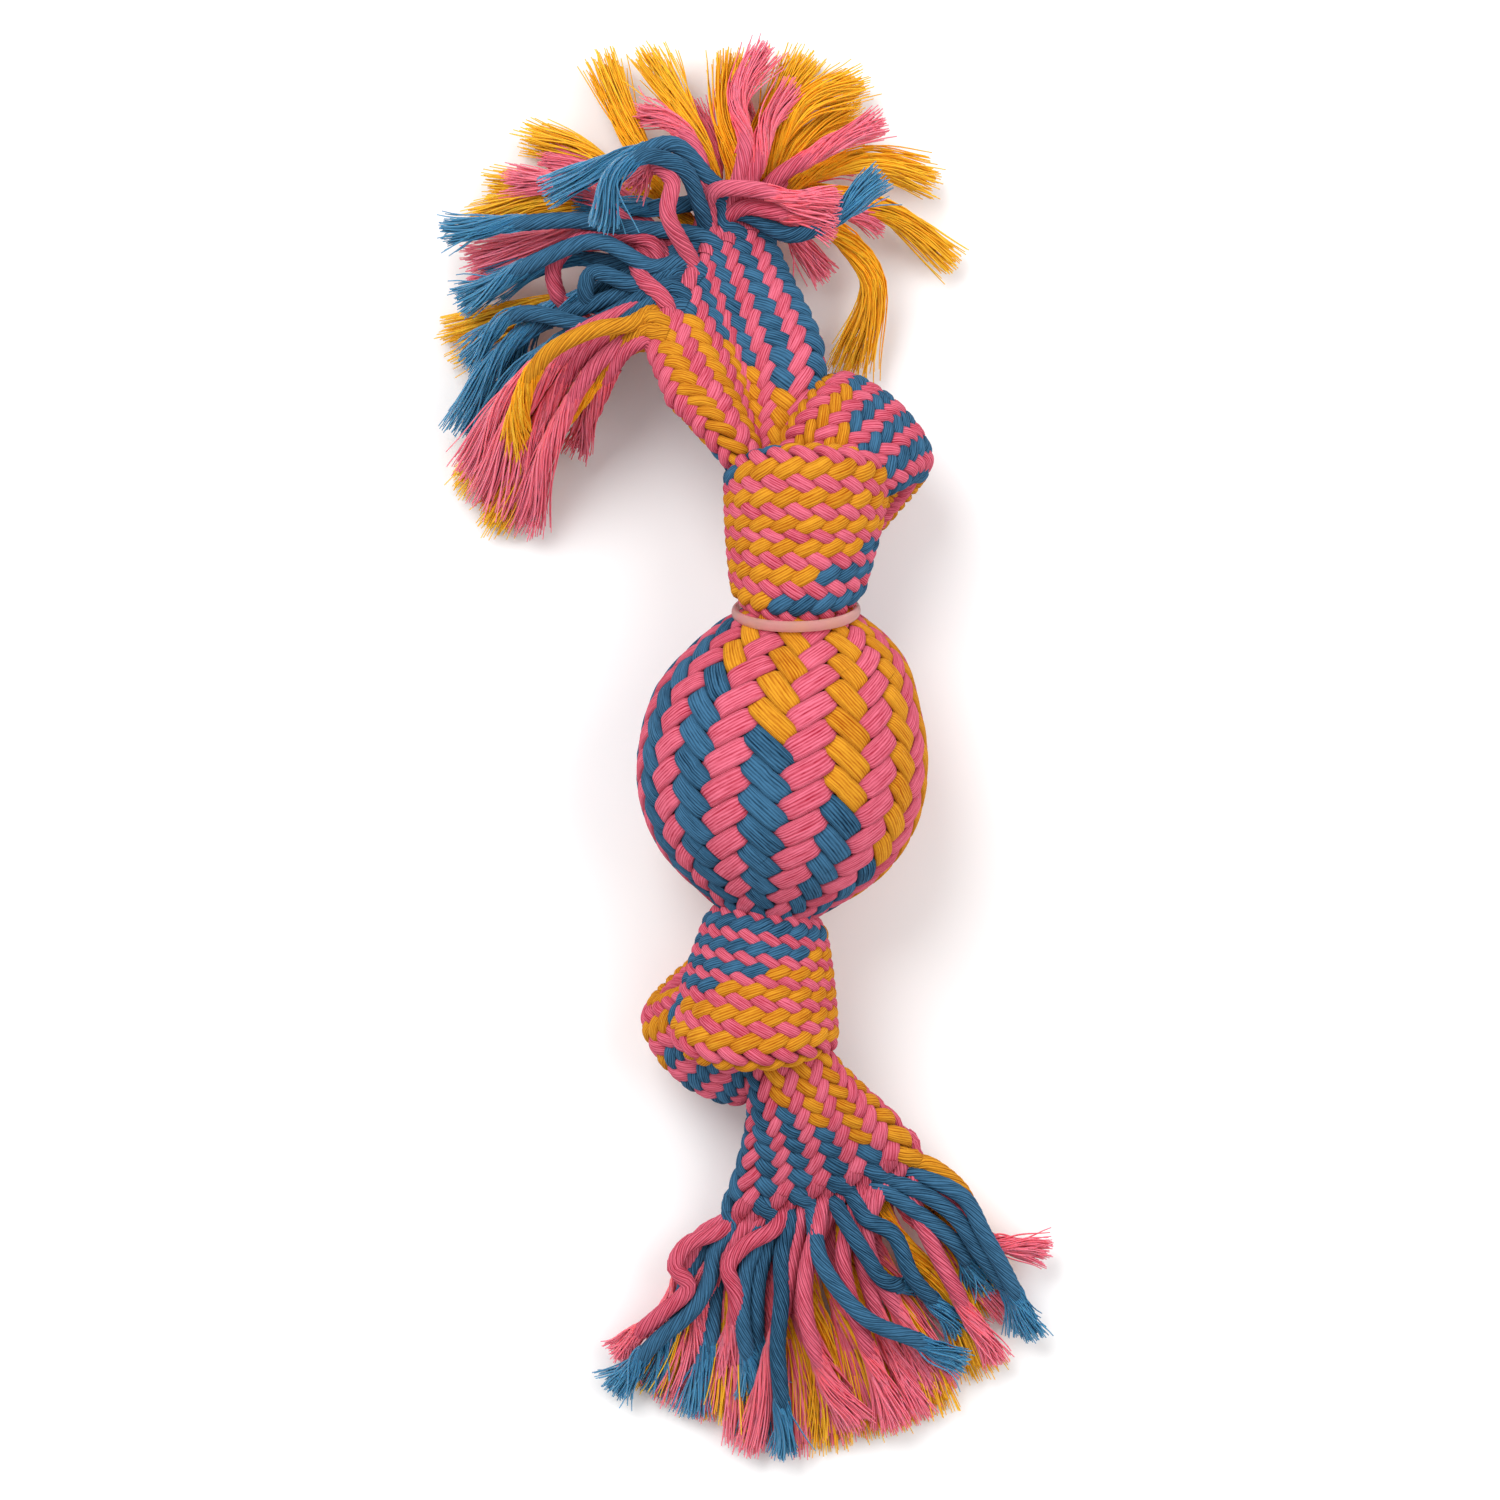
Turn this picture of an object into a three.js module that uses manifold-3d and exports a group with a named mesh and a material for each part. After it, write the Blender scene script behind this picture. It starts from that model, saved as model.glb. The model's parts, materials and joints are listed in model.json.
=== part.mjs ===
// Rope dog toy: a cotton braid drawn over a rubber ball, knotted on both sides of it and frayed at both ends.
// Units are millimetres and degrees. The toy lies on a floor at Z = 0 with its length along Y.
// The origin is the middle of the flat on which the ball rests.
import * as THREE from "three";
import { mergeVertices } from "three/addons/utils/BufferGeometryUtils.js";
import Module from "manifold-3d";

const wasm = await Module();
wasm.setup();

// Ball and fits
const CORE_DIAMETER = 63;
const COVER_WALL = 4.45;
const REST_FLAT = 0.8;
const CLEARANCE = 0.3;

// Necks, where the braid is gathered between the ball and a knot
const NECK_HOLE_RADIUS = 10.5;
const NECK_FLANGE_RADIUS = 14.6;
const NECK_SLEEVE = 4;

// Clear band round the upper neck
const BAND_WALL = 1.9;
const BAND_EDGE = 0.6;

// Knots: how deep they are for their width, how far a mouth is hollow, and how the rims are rounded
const KNOT_DEPTH = 0.92;
const MOUTH_DEPTH = 12;
const RIM_ROUND = 2.4;

// Shares of a knot's bore taken by each of the two ropes in its mouth, and of the mouth that they run straight
const HALF_BORE = { offset: 0.5, halfWidth: 0.42, halfThickness: 0.5 };
const MOUTH_STRAIGHT = 0.4;

// Shares of its rise, side and drop at which a bight leans out, crowns, turns down and falls behind the knot
const BIGHT_PATH = { out: 0.6, back: 0.15, crown: 0.55, turn: 0.4, fall: 0.4 };

// Shares of a rope's length between which it changes from one size to the next
const BIGHT_WIDENS = [0.1, 0.28];
const BIGHT_SPREADS = [0.4, 0.6];
const BIGHT_FLATTENS = [0.3, 0.5];
const ROOT_WIDENS = [0.2, 0.5];
const ROOT_SPREADS = [0.5, 1];
const LEG_SPREADS = [-0.25, 1.1];

// Free legs where they leave the knots
const ROOT_WIDTH = 18;
const ROOT_THICKNESS = 13;

// Loose strands of the tassels, in two layers
const STRAND_DIAMETER = 4.2;
const STRAND_SIDES = 8;
const STRAND_STEPS = 6;
const LAYER_GAP = 0.7;
const HEM = 0.6;

// The two ends. Yaw and pitch place an end's axis on the ball, lean and dip turn its leg on the knot, and slant
// is the angle of the leg's end. The upper knot stands off the floor, the lower one rests on its bight.
const UPPER_END = {
  name: "upper",
  yaw: -5,
  pitch: 5,
  knotGap: 2.2,
  cuff: { nearRadius: 16.5, farRadius: 20.6, length: 40, nearBore: 10, farBore: 16, crest: 2.4 },
  bight: { rise: 19, side: 14.5, halfWidth: 14, halfThickness: 5, drop: 27, tuck: 6 },
  leg: { rise: 6, lean: 32, dip: -22, start: 5, length: 42, slant: 12, cup: 4 },
  strands: { gap: 0.55, lead: 6, fanLead: 4, tail: 0.34 },
};
const LOWER_END = {
  name: "lower",
  yaw: 174,
  knotGap: 0.8,
  cuff: { nearRadius: 15.5, farRadius: 22, length: 34, nearBore: 10, farBore: 17, crest: 2 },
  bight: { rise: 16, side: 13.5, halfWidth: 13.5, halfThickness: 5, drop: 23, tuck: 6 },
  leg: { rise: 6, lean: 18, dip: -27, start: 5, length: 33, slant: 8, cup: 3 },
  strands: { gap: 1.6, lead: 7, fanLead: 1, tail: 0.34 },
};

// Tips of the loose strands, left to right along the leg's end: colour, then the tip's place across and along
// the floor from the middle of that end, then its height over the floor.
const UPPER_TIPS = {
  front: [
    ["yellow", -42, -47, 11],
    ["pink", -59, -44, 12],
    ["blue", -64, -32, 14],
    ["blue", -63, -16, 16],
    ["pink", -62, -3, 17],
    ["blue", -66, 15, 17],
    ["pink", -50, 31, 20],
    ["blue", -20, 47, 24],
    ["pink", 32, 22, 26],
  ],
  back: [
    ["pink", -36, -60, 2.4],
    ["yellow", -55, -57, 2.4],
    ["pink", -60, 9, 2.4],
    ["yellow", -55, 28, 2.4],
    ["yellow", -25, 61, 2.4],
    ["pink", 15, 63, 2.4],
    ["yellow", 38, 56, 2.4],
    ["yellow", 55, 36, 2.4],
    ["pink", 62, 8, 2.4],
  ],
};
const LOWER_TIPS = {
  front: [
    ["pink", 60, -16, 8],
    ["blue", 55, -38, 8],
    ["pink", 47, -46, 8],
    ["blue", 36, -50, 8],
    ["pink", 22, -60, 8],
    ["pink", 10, -62, 8],
    ["blue", -6, -68, 8],
    ["pink", -17, -66, 8],
    ["blue", -32, -59, 8],
    ["blue", -51, -52, 8],
  ],
  back: [
    ["yellow", 51, -20, 2.4],
    ["pink", 53, -40, 2.4],
    ["yellow", 42, -50, 2.4],
    ["pink", 31, -56, 2.4],
    ["yellow", 19, -62, 2.4],
    ["yellow", 7, -65, 2.4],
    ["pink", -6, -64, 2.4],
    ["yellow", -22, -59, 2.4],
    ["pink", -38, -52, 2.4],
    ["pink", -50, -41, 2.4],
  ],
};

// Facets of the ball, round turned pieces, round lofted pieces and along lofts
const CORE_SIDES = 24;
const CORE_RINGS = 16;
const COVER_SIDES = 36;
const COVER_RINGS = 20;
const TURNED_SIDES = 28;
const LOFT_SIDES = 16;
const BIGHT_STEPS = 11;
const LEG_STEPS = 5;
const SQUARENESS = 0.72;
const WELD = 1e-4;

const COTTON = {
  pink: { color: 0xe0698c, roughness: 0.95 },
  blue: { color: 0x2f6f93, roughness: 0.95 },
  yellow: { color: 0xdfa52c, roughness: 0.95 },
  braid: { color: 0xd98a6a, roughness: 0.95 },
};
const RUBBER = { color: 0x3a3a3c, roughness: 0.8 };
const CLEAR_BAND = { color: 0xe9cdd4, roughness: 0.35, transparent: true, opacity: 0.7 };

const ballRadius = CORE_DIAMETER / 2 + CLEARANCE + COVER_WALL;
const ballHeight = ballRadius - REST_FLAT;
const toy = new THREE.Group();

function addPiece(parent, name, geometry, finish) {
  const mesh = new THREE.Mesh(geometry, new THREE.MeshStandardMaterial({ metalness: 0, ...finish }));
  mesh.name = name;
  parent.add(mesh);
  return mesh;
}

// Closed solid of revolution about Y from [radius, height] points
function turned(points) {
  const profile = points.map(([radius, height]) => new THREE.Vector2(radius, height));
  return new THREE.LatheGeometry(profile, TURNED_SIDES);
}

// Closed solid through rings of points, each ring with a middle that its end cap fans out from
function lofted(rings) {
  const sides = rings[0].points.length;
  const points = rings.flatMap((ring) => ring.points);
  const index = [];
  for (let k = 0; k + 1 < rings.length; k += 1) {
    for (let i = 0; i < sides; i += 1) {
      const a = k * sides + i;
      const b = k * sides + ((i + 1) % sides);
      index.push(a, b, a + sides, b, b + sides, a + sides);
    }
  }
  const first = points.push(rings[0].middle) - 1;
  const last = points.push(rings.at(-1).middle) - 1;
  const lastRing = (rings.length - 1) * sides;
  for (let i = 0; i < sides; i += 1) {
    const next = (i + 1) % sides;
    index.push(first, next, i, last, lastRing + i, lastRing + next);
  }
  const geometry = new THREE.BufferGeometry().setFromPoints(points);
  geometry.setIndex(index);
  geometry.computeVertexNormals();
  return geometry;
}

// Points of a flattened rope section, as [across, through] pairs, in order about the rope's own direction
function flatSection(halfWidth, halfThickness) {
  const section = [];
  for (let i = 0; i < LOFT_SIDES; i += 1) {
    const angle = (2 * Math.PI * i) / LOFT_SIDES;
    const across = Math.sign(Math.cos(angle)) * Math.abs(Math.cos(angle)) ** SQUARENESS;
    const through = -Math.sign(Math.sin(angle)) * Math.abs(Math.sin(angle)) ** SQUARENESS;
    section.push([halfWidth * across, halfThickness * through]);
  }
  return section;
}

// Rope along a curve, flat across the given direction. sizeAt gives half width and half thickness along it.
function ropeAlong(curve, acrossDirection, steps, sizeAt) {
  const rings = [];
  for (let k = 0; k <= steps; k += 1) {
    const share = k / steps;
    const middle = curve.getPoint(share);
    const along = curve.getTangent(share);
    const through = new THREE.Vector3().crossVectors(acrossDirection, along).normalize();
    const across = new THREE.Vector3().crossVectors(along, through);
    const points = flatSection(...sizeAt(share)).map(([a, t]) =>
      middle.clone().addScaledVector(across, a).addScaledVector(through, t),
    );
    rings.push({ points, middle });
  }
  return lofted(rings);
}

function toSolid(geometry) {
  const bare = geometry.clone();
  bare.deleteAttribute("normal");
  bare.deleteAttribute("uv");
  const merged = mergeVertices(bare, WELD);
  const mesh = new wasm.Mesh({
    numProp: 3,
    vertProperties: new Float32Array(merged.attributes.position.array),
    triVerts: new Uint32Array(merged.index.array),
  });
  return new wasm.Manifold(mesh);
}

function toGeometry(solid) {
  const mesh = solid.getMesh();
  const geometry = new THREE.BufferGeometry();
  geometry.setAttribute("position", new THREE.BufferAttribute(new Float32Array(mesh.vertProperties), 3));
  geometry.setIndex(new THREE.BufferAttribute(new Uint32Array(mesh.triVerts), 1));
  geometry.computeVertexNormals();
  return geometry;
}

const degrees = THREE.MathUtils.degToRad;
const lerp = THREE.MathUtils.lerp;
const smooth = THREE.MathUtils.smoothstep;

// Value that changes smoothly from one to another over a range of a share
function change(from, to, share, [start, stop]) {
  return lerp(from, to, smooth(share, start, stop));
}

// Group at an end's or a leg's start, turned across the floor by yaw and lifted off it by pitch
function turnedGroup(yaw, pitch) {
  const group = new THREE.Group();
  group.rotation.set(degrees(pitch), 0, degrees(yaw), "ZXY");
  return group;
}

// Distance from the ball's centre to a knot's near rim
function rimDistance(end) {
  return ballRadius + end.knotGap;
}

// Thickness of a knot behind its axis: the cuff's wall and the bight that lies against it
function depthBehind(end) {
  return end.cuff.farRadius * KNOT_DEPTH + CLEARANCE + 2 * end.bight.halfThickness;
}

// Pitch at which an end drops from the ball's centre until the back of its bight lies on the floor
function restingPitch(end) {
  const reach = rimDistance(end) + end.cuff.length + BIGHT_PATH.turn * end.bight.rise;
  const depth = depthBehind(end) + 2 * CLEARANCE;
  const drop = Math.asin(ballHeight / Math.hypot(reach, depth)) - Math.atan2(depth, reach);
  return -THREE.MathUtils.radToDeg(drop);
}

// Rubber ball, and the braid over it with a hole at each neck and a flat where it rests
function addBall(ends) {
  const ball = new THREE.Group();
  ball.position.z = ballHeight;
  toy.add(ball);
  const coreRadius = CORE_DIAMETER / 2;
  addPiece(ball, "ball_core", new THREE.SphereGeometry(coreRadius, CORE_SIDES, CORE_RINGS), RUBBER);

  const outside = new THREE.SphereGeometry(ballRadius, COVER_SIDES, COVER_RINGS);
  const inside = new THREE.SphereGeometry(coreRadius + CLEARANCE, CORE_SIDES, CORE_RINGS);
  let cover = toSolid(outside).subtract(toSolid(inside));
  for (const { axis } of ends) {
    const hole = new THREE.CylinderGeometry(NECK_HOLE_RADIUS, NECK_HOLE_RADIUS, ballRadius, TURNED_SIDES);
    hole.translate(0, ballRadius, 0);
    hole.applyQuaternion(axis.quaternion);
    cover = cover.subtract(toSolid(hole));
  }
  const floor = new THREE.BoxGeometry(2 * ballRadius, 2 * ballRadius, ballRadius);
  floor.translate(0, 0, -ballHeight - ballRadius / 2);
  addPiece(ball, "ball_cover", toGeometry(cover.subtract(toSolid(floor))), COTTON.braid);
}

// Gathered braid: a plug in the ball's cover, a flange between ball and knot, and a sleeve in the knot's bore
function addNeck(end, axis) {
  const plug = NECK_HOLE_RADIUS - CLEARANCE;
  const foot = CORE_DIAMETER / 2 + CLEARANCE;
  const seat = Math.sqrt(ballRadius ** 2 - NECK_HOLE_RADIUS ** 2) + CLEARANCE;
  const rim = rimDistance(end) - CLEARANCE;
  const sleeve = end.cuff.nearBore * KNOT_DEPTH - CLEARANCE;
  const top = rimDistance(end) + NECK_SLEEVE;
  const profile = [
    [0, foot],
    [plug, foot],
    [plug, seat],
    [NECK_FLANGE_RADIUS, seat],
    [NECK_FLANGE_RADIUS, rim],
    [sleeve, rim],
    [sleeve, top],
    [0, top],
  ];
  addPiece(axis, `${end.name}_neck`, turned(profile), COTTON.braid);
  return { seat, rim };
}

// Soft band round the neck's flange
function addBand(axis, { seat, rim }) {
  const inner = NECK_FLANGE_RADIUS + CLEARANCE;
  const outer = inner + BAND_WALL;
  const profile = [
    [inner, seat],
    [outer - BAND_EDGE, seat],
    [outer, seat + BAND_EDGE],
    [outer, rim - BAND_EDGE],
    [outer - BAND_EDGE, rim],
    [inner, rim],
    [inner, seat],
  ];
  addPiece(axis, "neck_band", turned(profile), CLEAR_BAND);
}

// Wrap of the knot: a cone of flattened braid with round rims, whose far rim crests at the front
function addCuff(end, knot) {
  const { nearRadius, farRadius, length, nearBore, farBore, crest } = end.cuff;
  const profile = [
    [nearBore, 0],
    [nearRadius - RIM_ROUND, 0],
    [nearRadius, RIM_ROUND],
    [cuffRadius(end, length / 2), length / 2],
    [farRadius, length - RIM_ROUND],
    [farRadius - RIM_ROUND, length],
    [farBore, length],
    [nearBore, length - MOUTH_DEPTH],
    [nearBore, 0],
  ];
  const geometry = turned(profile);
  const position = geometry.attributes.position;
  for (let i = 0; i < position.count; i += 1) {
    const front = Math.max(0, position.getZ(i)) / farRadius;
    const height = position.getY(i);
    position.setY(i, height + crest * front * smooth(height, length / 2, length));
    position.setZ(i, position.getZ(i) * KNOT_DEPTH);
  }
  geometry.computeVertexNormals();
  addPiece(knot, `${end.name}_knot_cuff`, geometry, COTTON.braid);
}

// Rope inside the wrap, between the neck's sleeve and the mouth
function addKnotCore(end, knot) {
  const { length, nearBore } = end.cuff;
  const radius = nearBore - CLEARANCE;
  const foot = NECK_SLEEVE + CLEARANCE;
  const top = length - MOUTH_DEPTH;
  const geometry = turned([
    [0, foot],
    [radius, foot],
    [radius, top],
    [0, top],
  ]);
  geometry.scale(1, 1, KNOT_DEPTH);
  addPiece(knot, `${end.name}_knot_core`, geometry, COTTON.braid);
}

// Half of a knot's bore: where its middle lies off the axis, and the half sizes of a rope that fills it
function halfBore(boreRadius) {
  const bore = boreRadius - CLEARANCE;
  return {
    offset: bore * HALF_BORE.offset,
    halfWidth: bore * HALF_BORE.halfWidth,
    halfThickness: bore * HALF_BORE.halfThickness,
  };
}

// Outer radius of a cuff at a height over its near rim
function cuffRadius(end, height) {
  return lerp(end.cuff.nearRadius, end.cuff.farRadius, height / end.cuff.length);
}

// Turn of the rope that leaves the mouth, folds back over the rim, goes down behind the wrap and tucks in there
function addBight(end, knot) {
  const { length } = end.cuff;
  const { rise, side, halfWidth, halfThickness, drop, tuck } = end.bight;
  const deep = halfBore(end.cuff.nearBore);
  const mouth = halfBore(end.cuff.farBore);
  const behind = depthBehind(end) - halfThickness;
  const crown = length + rise - halfThickness;
  const lean = lerp(mouth.offset, side, BIGHT_PATH.out);
  const narrowing = (end.cuff.farRadius - cuffRadius(end, length - drop)) * KNOT_DEPTH;
  const curve = new THREE.CatmullRomCurve3([
    new THREE.Vector3(deep.offset, length - MOUTH_DEPTH + CLEARANCE, 0),
    new THREE.Vector3(deep.offset, length - (1 - MOUTH_STRAIGHT) * MOUTH_DEPTH, 0),
    new THREE.Vector3(mouth.offset, length + RIM_ROUND, 0),
    new THREE.Vector3(lean, crown - halfThickness, -BIGHT_PATH.back * behind),
    new THREE.Vector3(side, crown, -BIGHT_PATH.crown * behind),
    new THREE.Vector3(side, length + BIGHT_PATH.turn * rise, -behind),
    new THREE.Vector3(side, length - BIGHT_PATH.fall * drop, -behind),
    new THREE.Vector3(side - tuck, length - drop, narrowing - behind),
  ]);
  const sizeAt = (share) => {
    const widthInMouth = change(deep.halfWidth, mouth.halfWidth, share, BIGHT_WIDENS);
    const thicknessInMouth = change(deep.halfThickness, mouth.halfThickness, share, BIGHT_WIDENS);
    return [
      change(widthInMouth, halfWidth, share, BIGHT_SPREADS),
      change(thicknessInMouth, halfThickness, share, BIGHT_FLATTENS),
    ];
  };
  const geometry = ropeAlong(curve, new THREE.Vector3(1, 0, 0), BIGHT_STEPS, sizeAt);
  addPiece(knot, `${end.name}_knot_bight`, geometry, COTTON.braid);
}

// Half width of a leg's end, which the strands of one layer fill side by side
function legHalfWidth(end, count) {
  return (count * (STRAND_DIAMETER + end.strands.gap)) / 2 + HEM;
}

// Half thickness of a leg's end, which takes two layers of strands
function legHalfThickness() {
  return STRAND_DIAMETER + LAYER_GAP / 2 + HEM;
}

// Height of a leg's middle surface at a share of its half width: the edges stand half the cup high
function dish(end, share) {
  return end.leg.cup * share ** 2 - end.leg.cup / 2;
}

// Stretch of the leg that lies in the mouth and flexes there
function addLegRoot(end, knot, leg) {
  const deep = halfBore(end.cuff.nearBore);
  const mouth = halfBore(end.cuff.farBore);
  leg.updateMatrix();
  const into = new THREE.Vector3(0, CLEARANCE, 0).applyMatrix4(leg.matrix);
  const out = new THREE.Vector3(0, end.leg.start - CLEARANCE, 0).applyMatrix4(leg.matrix);
  const curve = new THREE.CatmullRomCurve3([
    new THREE.Vector3(-deep.offset, end.cuff.length - MOUTH_DEPTH + CLEARANCE, 0),
    new THREE.Vector3(-deep.offset, end.cuff.length - (1 - MOUTH_STRAIGHT) * MOUTH_DEPTH, 0),
    new THREE.Vector3(-mouth.offset, end.cuff.length, 0),
    into,
    out,
  ]);
  const sizeAt = (share) => {
    const widthInMouth = change(deep.halfWidth, mouth.halfWidth, share, ROOT_WIDENS);
    const thicknessInMouth = change(deep.halfThickness, mouth.halfThickness, share, ROOT_WIDENS);
    return [
      change(widthInMouth, ROOT_WIDTH / 2, share, ROOT_SPREADS),
      change(thicknessInMouth, ROOT_THICKNESS / 2, share, ROOT_SPREADS),
    ];
  };
  const geometry = ropeAlong(curve, new THREE.Vector3(1, 0, 0), LEG_STEPS, sizeAt);
  addPiece(knot, `${end.name}_leg_root`, geometry, COTTON.braid);
}

// Free leg: flat braid that widens from the mouth to the slanted end where the strands come loose
function addLeg(end, leg, count) {
  const slope = Math.tan(degrees(end.leg.slant));
  const rings = [];
  for (let k = 0; k <= LEG_STEPS; k += 1) {
    const share = k / LEG_STEPS;
    const halfWidth = change(ROOT_WIDTH / 2, legHalfWidth(end, count), share, LEG_SPREADS);
    const halfThickness = lerp(ROOT_THICKNESS / 2, legHalfThickness(), share);
    const place = (across, through) => {
      const along = lerp(end.leg.start, end.leg.length + slope * across, share);
      return new THREE.Vector3(across, along, through + share * dish(end, across / halfWidth));
    };
    const points = flatSection(halfWidth, halfThickness).map(([a, t]) => place(a, t));
    rings.push({ points, middle: place(0, 0) });
  }
  addPiece(leg, `${end.name}_leg`, lofted(rings), COTTON.braid);
}

// Loose strands of one layer, each one tube from the leg's end to its tip
function addStrands(end, leg, layer, tips) {
  const halfWidth = legHalfWidth(end, tips.length);
  const pitch = STRAND_DIAMETER + end.strands.gap;
  const slope = Math.tan(degrees(end.leg.slant));
  const layerSide = layer === "front" ? 1 : -1;
  const section = new THREE.Shape();
  section.absarc(0, 0, STRAND_DIAMETER / 2, 0, 2 * Math.PI);
  leg.updateWorldMatrix(true, false);
  const endMiddle = leg.localToWorld(new THREE.Vector3(0, end.leg.length, 0));
  const outward = new THREE.Vector3(-slope, 1, 0).normalize().transformDirection(leg.matrixWorld);
  tips.forEach(([colour, x, y, height], i) => {
    const across = (i - (tips.length - 1) / 2) * pitch;
    const through = dish(end, across / halfWidth) + (layerSide * (STRAND_DIAMETER + LAYER_GAP)) / 2;
    const root = leg.localToWorld(new THREE.Vector3(across, end.leg.length + slope * across, through));
    root.addScaledVector(outward, CLEARANCE);
    const fromEdge = Math.min(i, tips.length - 1 - i);
    const lead = end.strands.lead + end.strands.fanLead * fromEdge;
    const out = root.clone().addScaledVector(outward, lead);
    out.z = Math.max(out.z, height);
    const tip = new THREE.Vector3(endMiddle.x + x, endMiddle.y + y, height);
    const heading = tip.clone().sub(out).setZ(0);
    const bend = tip.clone().addScaledVector(heading, -end.strands.tail);
    const path = new THREE.CubicBezierCurve3(root, out, bend, tip);
    const geometry = new THREE.ExtrudeGeometry(section, {
      extrudePath: path,
      steps: STRAND_STEPS,
      curveSegments: STRAND_SIDES / 2,
      bevelEnabled: false,
    });
    addPiece(toy, `${end.name}_${layer}_strand_${i + 1}`, geometry, COTTON[colour]);
  });
}

// Neck, knot, leg and tassel of one end
function addEnd(end, axis, tips) {
  const neck = addNeck(end, axis);
  if (end === UPPER_END) {
    addBand(axis, neck);
  }
  const knot = new THREE.Group();
  knot.position.y = rimDistance(end);
  axis.add(knot);
  addCuff(end, knot);
  addKnotCore(end, knot);
  addBight(end, knot);
  const leg = turnedGroup(end.leg.lean, end.leg.dip);
  leg.position.set(-halfBore(end.cuff.farBore).offset, end.cuff.length + end.leg.rise, 0);
  knot.add(leg);
  addLegRoot(end, knot, leg);
  addLeg(end, leg, tips.front.length);
  addStrands(end, leg, "front", tips.front);
  addStrands(end, leg, "back", tips.back);
}

const upperAxis = turnedGroup(UPPER_END.yaw, UPPER_END.pitch);
const lowerAxis = turnedGroup(LOWER_END.yaw, restingPitch(LOWER_END));
for (const axis of [upperAxis, lowerAxis]) {
  axis.position.z = ballHeight;
  toy.add(axis);
}
addBall([{ axis: upperAxis }, { axis: lowerAxis }]);
addEnd(UPPER_END, upperAxis, UPPER_TIPS);
addEnd(LOWER_END, lowerAxis, LOWER_TIPS);

export default toy;
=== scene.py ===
import json
import math

import bpy
import numpy as np
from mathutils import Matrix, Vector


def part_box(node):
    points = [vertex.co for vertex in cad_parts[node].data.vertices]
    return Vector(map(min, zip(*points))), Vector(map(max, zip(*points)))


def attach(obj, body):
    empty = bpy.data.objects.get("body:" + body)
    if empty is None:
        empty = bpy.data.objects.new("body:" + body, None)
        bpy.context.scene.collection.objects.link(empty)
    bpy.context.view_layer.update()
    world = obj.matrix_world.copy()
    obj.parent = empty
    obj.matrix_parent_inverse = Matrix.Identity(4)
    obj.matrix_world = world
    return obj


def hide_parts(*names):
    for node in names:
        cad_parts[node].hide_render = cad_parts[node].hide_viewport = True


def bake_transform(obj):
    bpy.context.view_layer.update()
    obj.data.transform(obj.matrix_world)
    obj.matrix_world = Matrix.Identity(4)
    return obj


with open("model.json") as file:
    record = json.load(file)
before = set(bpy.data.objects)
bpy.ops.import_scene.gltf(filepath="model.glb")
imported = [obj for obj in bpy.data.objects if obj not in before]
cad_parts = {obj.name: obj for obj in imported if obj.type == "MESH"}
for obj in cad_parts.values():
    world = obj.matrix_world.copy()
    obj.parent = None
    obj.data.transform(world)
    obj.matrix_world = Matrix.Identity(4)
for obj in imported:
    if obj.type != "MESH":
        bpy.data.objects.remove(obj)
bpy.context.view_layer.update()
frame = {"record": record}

# Camera: it looks straight down on the toy, which lies on the floor with its length up the picture.
# A long lens from 1.8 m above the ball's middle takes in a field of 375 mm.
bpy.ops.object.camera_add(location=(-0.008, 0.005, 1.835), rotation=(0, 0, 0))
camera = bpy.context.object
camera.name = "camera"
camera.data.sensor_width = 36
camera.data.lens = 172.8
camera.data.dof.use_dof = False
bpy.context.scene.camera = camera

# Ball core: a plain rubber ball inside the braid, moulded in one piece and held by the braid's grip.
# It doesn't show. Its middle is where the two ends of the toy meet.
core_low, core_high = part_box("ball_core")
ball_middle = np.array((core_low + core_high) / 2)
CORE_RADIUS = 0.0310


def plain(name, colour, roughness):
    """Material of one colour."""
    material = bpy.data.materials.new(name)
    material.use_nodes = True
    finish = material.node_tree.nodes["Principled BSDF"]
    finish.inputs["Base Color"].default_value = (*colour, 1)
    finish.inputs["Roughness"].default_value = roughness
    return material


bpy.ops.mesh.primitive_uv_sphere_add(segments=48, ring_count=24, radius=CORE_RADIUS, location=ball_middle)
ball_core = bpy.context.object
ball_core.name = "rubber_ball"
bpy.ops.object.transform_apply(location=True, rotation=False, scale=False)
bpy.ops.object.shade_smooth()
ball_core.data.materials.append(plain("grey_rubber", (0.10, 0.10, 0.11), 0.8))
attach(ball_core, "ball")
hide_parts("ball_core")

# Ball cover: a tube of 48 cotton strands, 24 pink ones that wind one way and 12 blue and 12 yellow ones that
# wind the other way, woven over two and under two. The ball stretches it, so that each strand lies flat like
# a ribbon.
rng = np.random.default_rng(48)


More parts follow.
